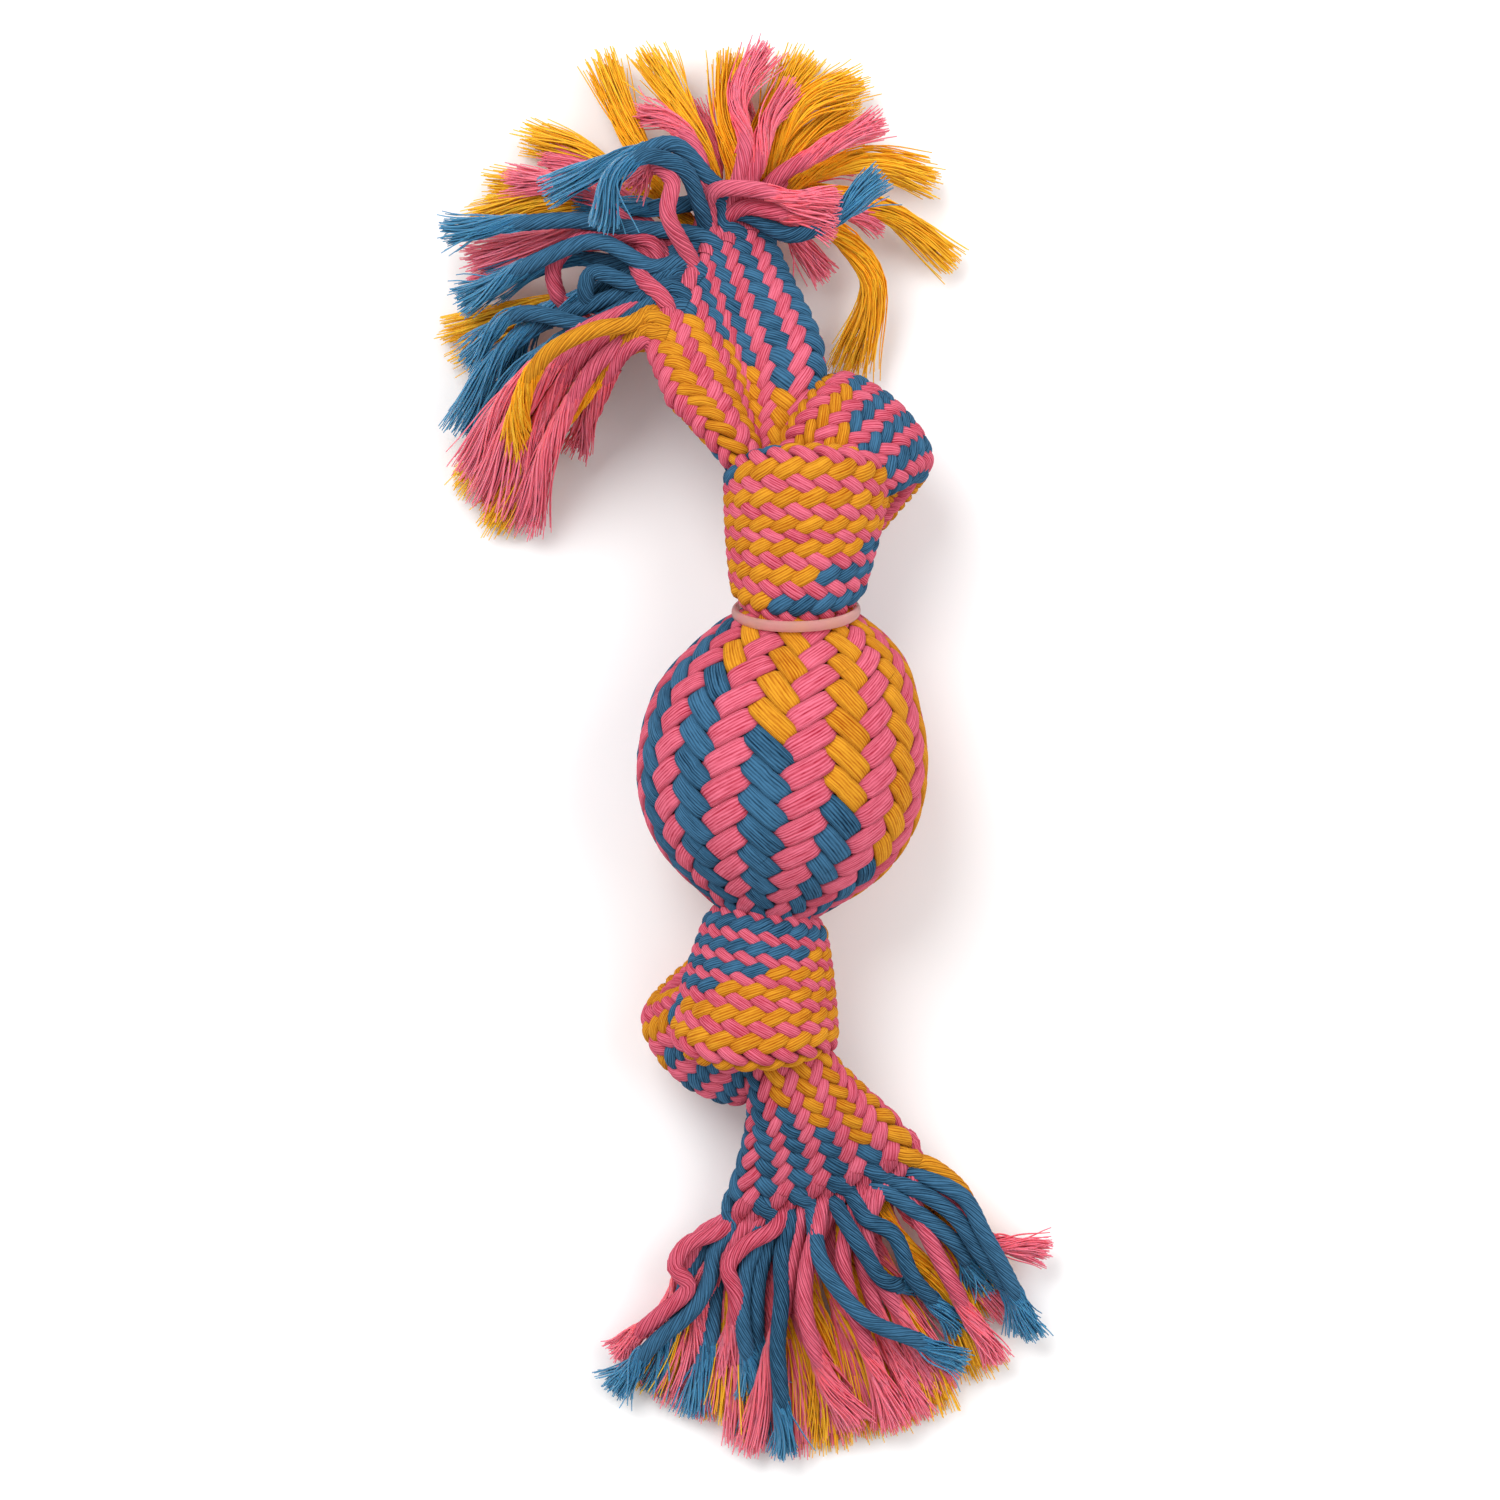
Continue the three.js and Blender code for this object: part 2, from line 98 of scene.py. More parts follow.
def cotton(name, light, deep):
    """Matte cotton with fine threads along each strand.

    Its map runs along the strand in millimetres and counts threads round it. Low relief darkens it: painted
    shade."""
    material = bpy.data.materials.new(name)
    material.use_nodes = True
    nodes, links = material.node_tree.nodes, material.node_tree.links
    finish = nodes["Principled BSDF"]
    finish.inputs["Roughness"].default_value = 0.95
    finish.inputs["Specular IOR Level"].default_value = 0.1
    finish.inputs["Sheen Weight"].default_value = 0.10
    finish.inputs["Sheen Roughness"].default_value = 0.6
    finish.inputs["Sheen Tint"].default_value = (*light, 1)
    lay = nodes.new("ShaderNodeUVMap")
    stretch = nodes.new("ShaderNodeMapping")
    stretch.inputs["Scale"].default_value = (0.20, 1, 1)
    threads = nodes.new("ShaderNodeTexWave")
    threads.bands_direction = "Y"
    threads.inputs["Scale"].default_value = 0.314
    threads.inputs["Distortion"].default_value = 5
    threads.inputs["Detail"].default_value = 2
    threads.inputs["Detail Scale"].default_value = 0.8
    fray = nodes.new("ShaderNodeTexNoise")
    fray.noise_dimensions = "2D"
    fray.inputs["Scale"].default_value = 0.9
    fray.inputs["Detail"].default_value = 3
    fray.inputs["Roughness"].default_value = 0.7
    depth = nodes.new("ShaderNodeMath")
    depth.operation = "MULTIPLY_ADD"
    depth.inputs[1].default_value = 0.38
    tone = nodes.new("ShaderNodeAttribute")
    tone.attribute_name = "tone"
    sum_up = nodes.new("ShaderNodeMath")
    sum_up.operation = "MULTIPLY_ADD"
    sum_up.inputs[1].default_value = 0.18
    # The ramp follows the thread pattern, fray and each strand's own tone. Its dark thread lines are the
    # threads' grain and painted shade between them; its pale light end is partly a painted highlight on the
    # fuzz.
    ramp = nodes.new("ShaderNodeValToRGB")
    ramp.color_ramp.elements[0].position = 0.40
    ramp.color_ramp.elements[0].color = (*deep, 1)
    ramp.color_ramp.elements[1].position = 1.0
    ramp.color_ramp.elements[1].color = (*light, 1)
    # Painted shade: where the relief attribute is low, between and under strands, the colour goes towards
    # the deep colour at three tenths.
    relief = nodes.new("ShaderNodeAttribute")
    relief.attribute_name = "relief"
    painted_crevice_shade = nodes.new("ShaderNodeMapRange")
    painted_crevice_shade.interpolation_type = "SMOOTHSTEP"
    painted_crevice_shade.inputs["From Min"].default_value = -0.2
    painted_crevice_shade.inputs["From Max"].default_value = 0.8
    painted_crevice_shade.inputs["To Min"].default_value = 0.25
    painted_crevice_shade.inputs["To Max"].default_value = 1.0
    painted_shade_mix = nodes.new("ShaderNodeMix")
    painted_shade_mix.data_type = "RGBA"
    painted_shade_mix.inputs[6].default_value = (*[part * 0.3 for part in deep], 1)
    grooves = nodes.new("ShaderNodeBump")
    grooves.inputs["Strength"].default_value = 0.6
    grooves.inputs["Distance"].default_value = 0.0004
    links.new(lay.outputs["UV"], stretch.inputs["Vector"])
    links.new(stretch.outputs["Vector"], threads.inputs["Vector"])
    links.new(stretch.outputs["Vector"], fray.inputs["Vector"])
    links.new(threads.outputs["Fac"], depth.inputs[0])
    links.new(fray.outputs["Fac"], depth.inputs[2])
    links.new(tone.outputs["Fac"], sum_up.inputs[0])
    links.new(depth.outputs["Value"], sum_up.inputs[2])
    links.new(sum_up.outputs["Value"], ramp.inputs["Fac"])
    links.new(relief.outputs["Fac"], painted_crevice_shade.inputs["Value"])
    links.new(painted_crevice_shade.outputs["Result"], painted_shade_mix.inputs[0])
    links.new(ramp.outputs["Color"], painted_shade_mix.inputs[7])
    links.new(painted_shade_mix.outputs[2], finish.inputs["Base Color"])
    links.new(depth.outputs["Value"], grooves.inputs["Height"])
    links.new(grooves.outputs["Normal"], finish.inputs["Normal"])
    return material


COTTON = {
    "pink": cotton("pink_cotton", (0.74, 0.154, 0.232), (0.35, 0.012, 0.032)),
    "blue": cotton("blue_cotton", (0.050, 0.156, 0.280), (0.002, 0.017, 0.040)),
    "yellow": cotton("yellow_cotton", (0.69, 0.305, 0.021), (0.34, 0.069, 0.001)),
}


def unit(vectors):
    return vectors / np.maximum(np.linalg.norm(vectors, axis=-1, keepdims=True), 1e-12)


def ease(share):
    share = np.clip(share, 0, 1)
    return share * share * (3 - 2 * share)


LAY_SHIFT = 900
THREAD_SHIFT = 97


def tubes(centres, side, up, half_width, half_thick, round_points, threads, relief, tone=None, run_on=None):
    """Quads of many tubes: centres are (tube, ring, xyz), round_points the corners of their section.

    threads is the number of threads round a tube, relief is 1 on what stands out and -1 in the depth and
    sets the painted shade that darkens the colour in the depth, and tone goes from dark to light. run_on is
    a strand's own chance and the length at its rings, where it goes on in another piece."""
    count, rings = centres.shape[:2]
    sides = len(round_points)
    across = half_width[..., None, None] * round_points[:, 0][None, None, :, None]
    through = half_thick[..., None, None] * round_points[:, 1][None, None, :, None]
    points = centres[:, :, None, :] + side[:, :, None, :] * across + up[:, :, None, :] * through
    start = (np.arange(count) * rings * sides)[:, None, None]
    ring = (np.arange(rings - 1) * sides)[None, :, None]
    corner = np.arange(sides)[None, None, :]
    after = (corner + 1) % sides
    first = start + ring
    quads = np.stack([first + corner, first + after,
                      first + after + sides, first + corner + sides], axis=-1)
    step = np.linalg.norm(np.diff(centres, axis=1), axis=-1)
    length = np.concatenate([np.zeros((count, 1)), np.cumsum(step, axis=1)], axis=1) * 1000
    chance = rng.random(count)
    if run_on is not None:
        chance, length = run_on
    low = np.broadcast_to(corner / sides * threads, quads.shape[:3])
    high = np.broadcast_to((corner + 1) / sides * threads, quads.shape[:3])
    here = np.broadcast_to(length[:, :-1, None], low.shape)
    there = np.broadcast_to(length[:, 1:, None], low.shape)
    lay = np.stack([np.stack([here, low], -1), np.stack([here, high], -1),
                    np.stack([there, high], -1), np.stack([there, low], -1)], axis=-2)
    shift = np.stack([chance * LAY_SHIFT, np.floor(chance * THREAD_SHIFT)], -1)
    lay = lay + shift[:, None, None, None, :]
    if tone is None:
        tone = np.broadcast_to(chance[:, None], (count, rings))
    shade = np.stack([np.broadcast_to(values, points.shape[:3]) for values in (tone[..., None], relief)], -1)
    return points.reshape(-1, 3), quads.reshape(-1, 4), lay.reshape(-1, 2), shade.reshape(-1, 2)


def piece(name, parts, material):
    """One mesh piece from the lists of points, quads, lay and shade that tubes() gives."""
    shift, points, quads, lays, shades = 0, [], [], [], []
    for part_points, part_quads, part_lay, part_shade in parts:
        points.append(part_points)
        quads.append(part_quads + shift)
        lays.append(part_lay)
        shades.append(part_shade)
        shift += len(part_points)
    mesh = bpy.data.meshes.new(name)
    mesh.from_pydata(np.concatenate(points).tolist(), [], np.concatenate(quads).tolist())
    layer = mesh.uv_layers.new(name="lay")
    layer.data.foreach_set("uv", np.concatenate(lays).astype(np.float32).ravel())
    for attribute, values in zip(("tone", "relief"), np.concatenate(shades).T.astype(np.float32)):
        shade = mesh.attributes.new(attribute, "FLOAT", "POINT")
        shade.data.foreach_set("value", np.ascontiguousarray(values))
    mesh.polygons.foreach_set("use_smooth", np.ones(len(mesh.polygons), bool))
    mesh.materials.append(material)
    made = bpy.data.objects.new(name, mesh)
    bpy.context.scene.collection.objects.link(made)
    return made


def ribbon_section(sides, flatness):
    """Corners of a strand's section: a round that is squared a little on its flats."""
    angles = 2 * np.pi * np.arange(sides) / sides
    wide = np.sign(np.cos(angles)) * np.abs(np.cos(angles)) ** flatness
    thick = np.sign(np.sin(angles)) * np.abs(np.sin(angles)) ** flatness
    return np.stack([wide, thick], -1)


ROUND = 48
STRANDS = 24
THICK_SWELL = 0.05
STRAND_RUN = 4.6


def strand_lines(place, start, stop, family, lift, firm, steps=4):
    """Middle lines and frames of the 24 strands of one direction, on a tube that place(u, v) gives.

    u is 48 units round the tube and v is the same unit along it. A strand rises and dives by lift."""
    rings = int(round((stop - start) * steps)) + 1
    v = np.broadcast_to(np.linspace(start, stop, rings), (STRANDS, rings))
    u = 2 * np.arange(STRANDS)[:, None] + family * v
    near = 0.03
    across = (place(u + near, v) - place(u - near, v)) / (2 * near)
    along = (place(u, v + near) - place(u, v - near)) / (2 * near)
    out = unit(np.cross(across, along))
    weave = family * np.tanh(firm * np.sin(np.pi / 2 * (u + 0.5))) / np.tanh(firm)
    centres = place(u, v) + out * (lift * weave)[..., None]
    heading = unit(np.gradient(centres, axis=1))
    side = unit(np.cross(out, heading))
    up = np.cross(heading, side)
    flow = family * across + along
    spacing = np.linalg.norm(np.cross(2 * across, flow), axis=-1) / np.linalg.norm(flow, axis=-1)
    return u, v, centres, heading, side, up, spacing, weave


def strand_colour(family, k, yellow_from):
    """Colour of a strand: one direction is pink, the other one is half yellow and half blue."""
    if family == 1:
        return "pink"
    return "yellow" if (2 * k - yellow_from) % ROUND < STRANDS else "blue"


def braid(place, start, stop, thick, lift, firm, full, flatness, sides, threads, yellow_from,
          seen=None, swell=0.12, plump=0, cover_chance=None):
    """Strands of the braid between start and stop, sorted by colour. Yellow begins at u + v = yellow_from.

    swell widens a strand where it lies on top, and plump makes the coloured strands wider than the pink
    ones. seen(u, v) says what is kept. cover_chance is for strands that go on in another piece."""
    sorted_parts = {colour: [] for colour in COTTON}
    section = ribbon_section(sides, flatness)
    for family in (1, -1):
        u, v, centres, _, side, up, spacing, weave = strand_lines(place, start, stop, family, lift, firm)
        half_width = 0.5 * spacing * full * (1 + swell * weave) * (1 - plump * family)
        half_thick = thick / 2 * (1 + THICK_SWELL * weave)
        # relief sets the painted shade: it is lowest where a strand dives under the others and on its
        # underside.
        relief = (lift * weave[..., None] + half_thick[..., None] * section[:, 1]) / (lift + thick / 2)
        for k in range(STRANDS):
            one = slice(k, k + 1)
            run_on = None
            if cover_chance is not None:
                run_on = (cover_chance[family][one], v[one] * STRAND_RUN)
            part = tubes(centres[one], side[one], up[one], half_width[one], half_thick[one],
                         section, threads, relief[one], run_on=run_on)
            if seen is not None:
                shown = seen((u[k, :-1] + u[k, 1:]) / 2, (v[k, :-1] + v[k, 1:]) / 2)
                quads = np.repeat(shown, sides)
                part = (part[0], part[1][quads], part[2][np.repeat(quads, 4)], part[3])
            sorted_parts[strand_colour(family, k, yellow_from)].append(part)
    return sorted_parts


def smooth_path(points, count, steps=24):
    """Points at even steps on a smooth curve through the given points."""
    points = np.array(points, float)
    ends = np.concatenate([[2 * points[0] - points[1]], points, [2 * points[-1] - points[-2]]])
    knots = np.concatenate([[0], np.cumsum(np.sqrt(np.linalg.norm(np.diff(ends, axis=0), axis=1)) + 1e-9)])
    fine = []
    for k in range(1, len(ends) - 2):
        t = np.linspace(knots[k], knots[k + 1], steps, endpoint=k == len(ends) - 3)[:, None]
        t0, t1, t2, t3 = knots[k - 1:k + 3]
        p0, p1, p2, p3 = ends[k - 1:k + 3]
        a1 = (t1 - t) / (t1 - t0) * p0 + (t - t0) / (t1 - t0) * p1
        a2 = (t2 - t) / (t2 - t1) * p1 + (t - t1) / (t2 - t1) * p2
        a3 = (t3 - t) / (t3 - t2) * p2 + (t - t2) / (t3 - t2) * p3
        b1 = (t2 - t) / (t2 - t0) * a1 + (t - t0) / (t2 - t0) * a2
        b2 = (t3 - t) / (t3 - t1) * a2 + (t - t1) / (t3 - t1) * a3
        fine.append((t2 - t) / (t2 - t1) * b1 + (t - t1) / (t2 - t1) * b2)
    fine = np.concatenate(fine)
    run = np.concatenate([[0], np.cumsum(np.linalg.norm(np.diff(fine, axis=0), axis=1))])
    even = np.linspace(0, run[-1], count)
    return np.stack([np.interp(even, run, fine[:, k]) for k in range(fine.shape[1])], -1), run[-1]


def turned_axes(yaw, pitch):
    """Axes of an end of the toy: the first goes across, the second away from the ball and the third up."""
    yaw, pitch = math.radians(yaw), math.radians(pitch)
    turn = np.array([[math.cos(yaw), -math.sin(yaw), 0], [math.sin(yaw), math.cos(yaw), 0], [0, 0, 1]])
    lift_up = np.array([[1, 0, 0],
                        [0, math.cos(pitch), -math.sin(pitch)],
                        [0, math.sin(pitch), math.cos(pitch)]])
    return turn @ lift_up


# The outline of the covered ball towards each end: distance along and radius, in millimetres
UPPER_COVER = [(0, 36.5), (8, 35.9), (16, 34.0), (24, 30.5), (30, 26.6), (34, 23.0), (37, 19.5),
               (39.6, 15.6), (41.4, 12.6), (43.6, 11.2), (58, 11)]
LOWER_COVER = [(0, 36.5), (7, 35.8), (14, 33.7), (21, 29.9), (26, 25.6), (30, 20.8), (32, 18.0),
               (34.5, 14.6), (36.6, 12.2), (39.5, 11.2), (58, 11)]
UPPER_AXES = turned_axes(-5, 5)
LOWER_AXES = turned_axes(174, -3.23)
AXES_MEET = 0.06
RIBBON_THICK = 0.0017
RIBBON_LIFT = 0.0012
BALL_UNIT = 0.00371
PATTERN_MIDDLE = 0.5
PATTERN_TURN = 0.73
PATTERN_SPREAD = 0.07
PATTERN_RISE = 0.0035
PATTERN_LEAN = 0.0016
COVER_DEPTH = 0.974
NECK_PRESS = 0.2
NECK_PRESS_FROM = 0.020
NECK_PRESS_OVER = 0.014
SHOULDER_SWING = 0.0022
SHOULDER_FROM = 0.016
SHOULDER_OVER = 0.016
PROFILE_POINTS = 400


def cover_profile(shape):
    """Arc length, distance along and radius of the middle surface, one skin inside the given outline."""
    outer, _ = smooth_path(np.array(shape) / 1000, PROFILE_POINTS)
    slope = unit(np.gradient(outer, axis=0))
    inner = outer - np.stack([-slope[:, 1], slope[:, 0]], -1) * (RIBBON_LIFT + RIBBON_THICK / 2)
    inner[:, 0] = np.maximum(inner[:, 0], 0)
    run = np.concatenate([[0], np.cumsum(np.hypot(*np.diff(inner, axis=0).T))])
    return run, inner[:, 0], inner[:, 1]


UPPER_RUN, UPPER_ALONG, UPPER_RADIUS = cover_profile(UPPER_COVER)
LOWER_RUN, LOWER_ALONG, LOWER_RADIUS = cover_profile(LOWER_COVER)


def on_ball(u, v):
    """Middle surface of the braid over the ball and its necks, pressed flatter towards the upper knot."""
    angle = (u + PATTERN_TURN) * np.pi / STRANDS
    angle = angle + PATTERN_SPREAD * np.sin(2 * angle)
    length = (v - PATTERN_MIDDLE) * BALL_UNIT + PATTERN_RISE - PATTERN_LEAN * np.sin(angle)
    above = length > 0
    along = np.where(above, np.interp(length, UPPER_RUN, UPPER_ALONG),
                     -np.interp(-length, LOWER_RUN, LOWER_ALONG))
    radius = np.where(above, np.interp(length, UPPER_RUN, UPPER_RADIUS),
                      np.interp(-length, LOWER_RUN, LOWER_RADIUS))
    depth = radius * (COVER_DEPTH - NECK_PRESS * ease((along - NECK_PRESS_FROM) / NECK_PRESS_OVER))
    swing = SHOULDER_SWING * ease((along - SHOULDER_FROM) / SHOULDER_OVER)
    local = np.stack([radius * np.sin(angle) + swing, along, depth * np.cos(angle)], -1)
    share = ease(along / AXES_MEET + 0.5)[..., None]
    upper = local @ UPPER_AXES.T
    lower = (local * (-1, -1, 1)) @ LOWER_AXES.T
    return ball_middle + upper * share + lower * (1 - share)


COVER_EDGE = 7
cover_chance = dict(zip((1, -1), np.random.default_rng(24).random((2, STRANDS))))
RIBBON_WEAVE = {"thick": RIBBON_THICK, "lift": RIBBON_LIFT, "firm": 2.5, "full": 0.95, "flatness": 0.5,
                "sides": 12, "threads": 32, "yellow_from": 0.97, "cover_chance": cover_chance}
ball_parts = braid(on_ball, PATTERN_MIDDLE - COVER_EDGE, PATTERN_MIDDLE + COVER_EDGE, **RIBBON_WEAVE)
for colour, parts in ball_parts.items():
    cover = piece(f"ball_cover_{colour}", parts, COTTON[colour])
    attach(cover, "ball")
    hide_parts("ball_cover")

# Necks: the same braid, gathered between the ball and each knot. It goes on into the knot.
# The neck's strands meet the cover's strands ring for ring.
NECK_END = 14.5
UPPER_RIM = 0.0418
LOWER_RIM = 0.0348
UPPER_STRETCH = (PATTERN_MIDDLE + COVER_EDGE, PATTERN_MIDDLE + NECK_END)
LOWER_STRETCH = (PATTERN_MIDDLE - NECK_END, PATTERN_MIDDLE - COVER_EDGE)
for end, axes, rim, stretch in (("upper", UPPER_AXES, UPPER_RIM, UPPER_STRETCH),
                                ("lower", LOWER_AXES, LOWER_RIM, LOWER_STRETCH)):
    for colour, parts in braid(on_ball, *stretch, **RIBBON_WEAVE).items():
        neck = piece(f"{end}_neck_{colour}", parts, COTTON[colour])
        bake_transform(neck)
        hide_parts(f"{end}_neck")

# Neck band: a soft clear ring, frosted and tinted by the cotton behind it, stretched round the upper neck.
# It sits between the ball and the knot.
BAND_RADIUS = 0.0152
BAND_HALF_THICK = 0.0009
BAND_HEIGHT = 1.55
BAND_TIP = 16
BAND_TURN = 1
band_place = ball_middle + UPPER_AXES @ np.array((0, 0.0402, 0.0030))
bpy.ops.mesh.primitive_torus_add(major_segments=96, minor_segments=20, major_radius=BAND_RADIUS,
                                 minor_radius=BAND_HALF_THICK)
band = bpy.context.object
band.name = "clear_neck_band"
band.scale = (1, 1, BAND_HEIGHT)
band.rotation_euler = (math.radians(-90 + BAND_TIP), 0, math.radians(BAND_TURN))
band.location = band_place
bpy.ops.object.transform_apply(location=True, rotation=True, scale=True)
bpy.ops.object.shade_smooth()
# Painted light: the band's pink colour stands in for the cotton seen through the clear band.
frosted = plain("frosted_band", (0.90, 0.58, 0.54), 0.55)
frosted_finish = frosted.node_tree.nodes["Principled BSDF"]
frosted_finish.inputs["Transmission Weight"].default_value = 0.75
frosted_finish.inputs["IOR"].default_value = 1.4
band.data.materials.append(frosted)
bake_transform(band)
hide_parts("neck_band")

# Knot wraps: each knot's outside is the braid itself, flattened and wound once round. Its two folded edges
# are the rims. The join of the wrap is at the back, under the bight.
STRAND_THICK = 0.0029
STRAND_LIFT = 0.00125
WRAP_ROUND = 36
WRAP_SHOWN = 17
WRAP_HALF_THICK = 0.0026
WRAP_BULGE = 0.0009
KNOT_DEPTH = 0.92
WRAP_WEAVE = {"thick": STRAND_THICK, "lift": STRAND_LIFT, "firm": 1.2, "full": 1.16, "flatness": 0.85,
              "sides": 12, "threads": 20, "swell": 0.2, "plump": 0.1}
UPPER_WRAP = {"near_radius": 0.0160, "far_radius": 0.0214, "length": 0.0368, "crest": 0.0046,
              "droop": 0.0052, "lean": 0, "shift": -0.7, "density": 0.91, "tilt": 0.085}
LOWER_WRAP = {"near_radius": 0.0143, "far_radius": 0.0220, "length": 0.0356, "crest": 0.0050,
              "droop": 0.0016, "lean": -0.45, "shift": 3.1, "density": 0.865, "tilt": 0}


def flat_tube(u, half_width, half_thick, density=1.0, front_share=0.0):
    """Place round a flattened tube: across it and through it, with u = 0 in the middle of its face.

    front_share stretches the face and crowds the back."""
    straight = np.maximum(half_width - half_thick, 0)
    girth = 4 * straight + 2 * np.pi * half_thick
    turn = (u + STRANDS) % ROUND / STRANDS - 1
    run = turn * (1 + front_share * (1 - np.abs(turn))) * girth / 2 * density
    far = np.abs(run)
    turn = np.clip((far - straight) / half_thick, 0, np.pi)
    across = np.where(far <= straight, far, straight + half_thick * np.sin(turn))
    back = 2 * straight + np.pi * half_thick - far
    across = np.where(far > straight + np.pi * half_thick, back, across)
    return np.sign(run) * across, half_thick * np.cos(turn)


def wrap_place(axes, rim, near_radius, far_radius, length, crest, droop, lean, shift, density, tilt):
    """Middle surface of a wrap: u goes along the knot and v goes round it.

    crest and droop carry its two edges out in front, lean turns that front and tilt slants the wrap. shift
    and density place the weave across it."""
    skin = STRAND_LIFT + STRAND_THICK / 2

    def on_wrap(u, v):
        across, through = flat_tube(u + shift, length / 2 - skin, WRAP_HALF_THICK, density)
        angle = 2 * np.pi * v / WRAP_ROUND
        along = length / 2 + across
        bulge = WRAP_BULGE * (1 - (2 * across / length) ** 2)
        outer_radius = near_radius + (far_radius - near_radius) * along / length
        radius = outer_radius - skin - WRAP_HALF_THICK + through + bulge
        front = np.maximum(np.cos(angle - lean), 0)
        far_half = ease(2 * along / length - 1)
        near_half = ease(1 - 2 * along / length)
        along = along + crest * front * far_half - droop * front * near_half
        along = along - tilt * radius * np.sin(angle)
        local = np.stack([-radius * np.sin(angle), rim + along, KNOT_DEPTH * radius * np.cos(angle)], -1)
        return ball_middle + local @ axes.T

    return on_wrap


def wrap_seen(u, v):
    """The face of a wrap and its two edges are kept, its hidden inner side isn't."""
    return np.abs((u + STRANDS) % ROUND - STRANDS) < WRAP_SHOWN


for end, axes, rim, shape, yellow_from in (("upper", UPPER_AXES, UPPER_RIM, UPPER_WRAP, -7),
                                           ("lower", LOWER_AXES, LOWER_RIM, LOWER_WRAP, -5.8)):
    wrap_parts = braid(wrap_place(axes, rim, **shape), -WRAP_ROUND / 2, WRAP_ROUND / 2,
                       yellow_from=yellow_from, seen=wrap_seen, **WRAP_WEAVE)
    for colour, parts in wrap_parts.items():
        wrap = piece(f"{end}_knot_wrap_{colour}", parts, COTTON[colour])
        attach(wrap, f"{end}_knot")
        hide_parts(f"{end}_knot_cuff")

# Knot bights: the flat braid comes out of each knot's mouth, folds back over the rim and tucks in behind the
# wrap. It is pulled tight, so it is narrower and thicker than the free legs.
SPINE_POINTS = 200
BED_POINTS = 161
CREASE_WIDTH = 0.46
LOOSEN_FROM = 0.6


def between(grid, row, column):
    """Values between the points of a grid."""
    low_row = np.clip(row.astype(int), 0, grid.shape[0] - 2)
    low_column = np.clip(column.astype(int), 0, grid.shape[1] - 2)
    row, column = row - low_row, column - low_column
    here = grid[low_row, low_column] * (1 - column) + grid[low_row, low_column + 1] * column
    there = grid[low_row + 1, low_column] * (1 - column) + grid[low_row + 1, low_column + 1] * column
    return here * (1 - row) + there * row


def rope_place(points, rope_unit, across, widths, thicks, rises, creases, slant=0, front_share=0, loosen=0):
    """Middle surface of a flat rope along a path, and the rope's length in its units.

    Half widths, half thicknesses, how far the middle stands above the edges and how deep it is creased
    lengthwise are given at even shares of the length. The stitches grow towards the end by loosen."""
    spine, length = smooth_path(points, SPINE_POINTS)
    heading = unit(np.gradient(spine, axis=0))
    front = unit(np.cross(np.broadcast_to(across, heading.shape), heading))
    side = np.cross(heading, front)
    shares = np.linspace(0, 1, SPINE_POINTS)
    skew = math.tan(math.radians(slant))
    half_width, half_thick, rise, crease = [
        np.interp(shares, np.linspace(0, 1, len(values)), values)[:, None]
        for values in (widths, thicks, rises, creases)]
    spot = np.linspace(-1, 1, BED_POINTS)
    across_bed = half_width * spot
    height_bed = rise * (0.5 - spot ** 2) - crease * np.exp(-(spot / CREASE_WIDTH) ** 2)
    run = np.hypot(np.diff(across_bed, axis=1), np.diff(height_bed, axis=1)).cumsum(axis=1)
    run = np.concatenate([np.zeros((SPINE_POINTS, 1)), run], axis=1)
    half_arc = run[:, -1] / 2
    even = (spot + 1) * half_arc[:, None]
    bed = np.stack([[np.interp(even[k], run[k], values[k]) for k in range(SPINE_POINTS)]
                    for values in (across_bed, height_bed)], -1)
    flow = unit(np.gradient(bed, axis=1))

    def loosened(share):
        return share + loosen * np.maximum(share - LOOSEN_FROM, 0) ** 2

    def on_rope(u, v):
        share = loosened(v * rope_unit / length)
        inside = np.clip(share, 0, 1)
        spots = [np.stack([np.interp(inside, shares, table[:, k]) for k in range(3)], -1)
                 for table in (spine, side, front, heading)]
        arc = np.interp(inside, shares, half_arc)
        far, out = flat_tube(u, arc, np.interp(inside, shares, half_thick[:, 0]), 1, front_share)
        row = inside * (SPINE_POINTS - 1)
        column = (far / arc + 1) * (BED_POINTS - 1) / 2
        sideways = between(bed[..., 0], row, column) - out * between(flow[..., 1], row, column)
        frontways = between(bed[..., 1], row, column) + out * between(flow[..., 0], row, column)
        beyond = (share - inside) * length + skew * sideways * ease(inside)
        return (spots[0] + spots[1] * sideways[..., None] + spots[2] * frontways[..., None]
                + spots[3] * beyond[..., None])

    return on_rope, np.interp(1, loosened(shares), shares) * length / rope_unit


BIGHT_UNIT = 0.00155
BIGHT_SIDES = 10
ROPE_WEAVE = {"thick": STRAND_THICK, "lift": STRAND_LIFT, "firm": 1.5, "full": 1.14, "flatness": 0.85,
              "threads": 20}
UPPER_BIGHT = {
    "points": np.array([(4, 66, 42), (9, 73, 43.5), (14.5, 79, 43.5), (19.5, 83.3, 39.5), (22.5, 85, 31),
                        (21, 82.5, 22.5), (16.5, 76.5, 18), (11, 69, 19), (6.5, 62, 25)]) / 1000,
    "across": (0.73, -0.68, 0),
    "widths": (0.007, 0.0115, 0.0142, 0.0148, 0.0148, 0.0142, 0.011),
    "thicks": (0.004, 0.005, 0.0055, 0.005, 0.004),
    "rises": (0.002, 0.0034, 0.004, 0.003, 0.001),
    "creases": (0, 0),
}
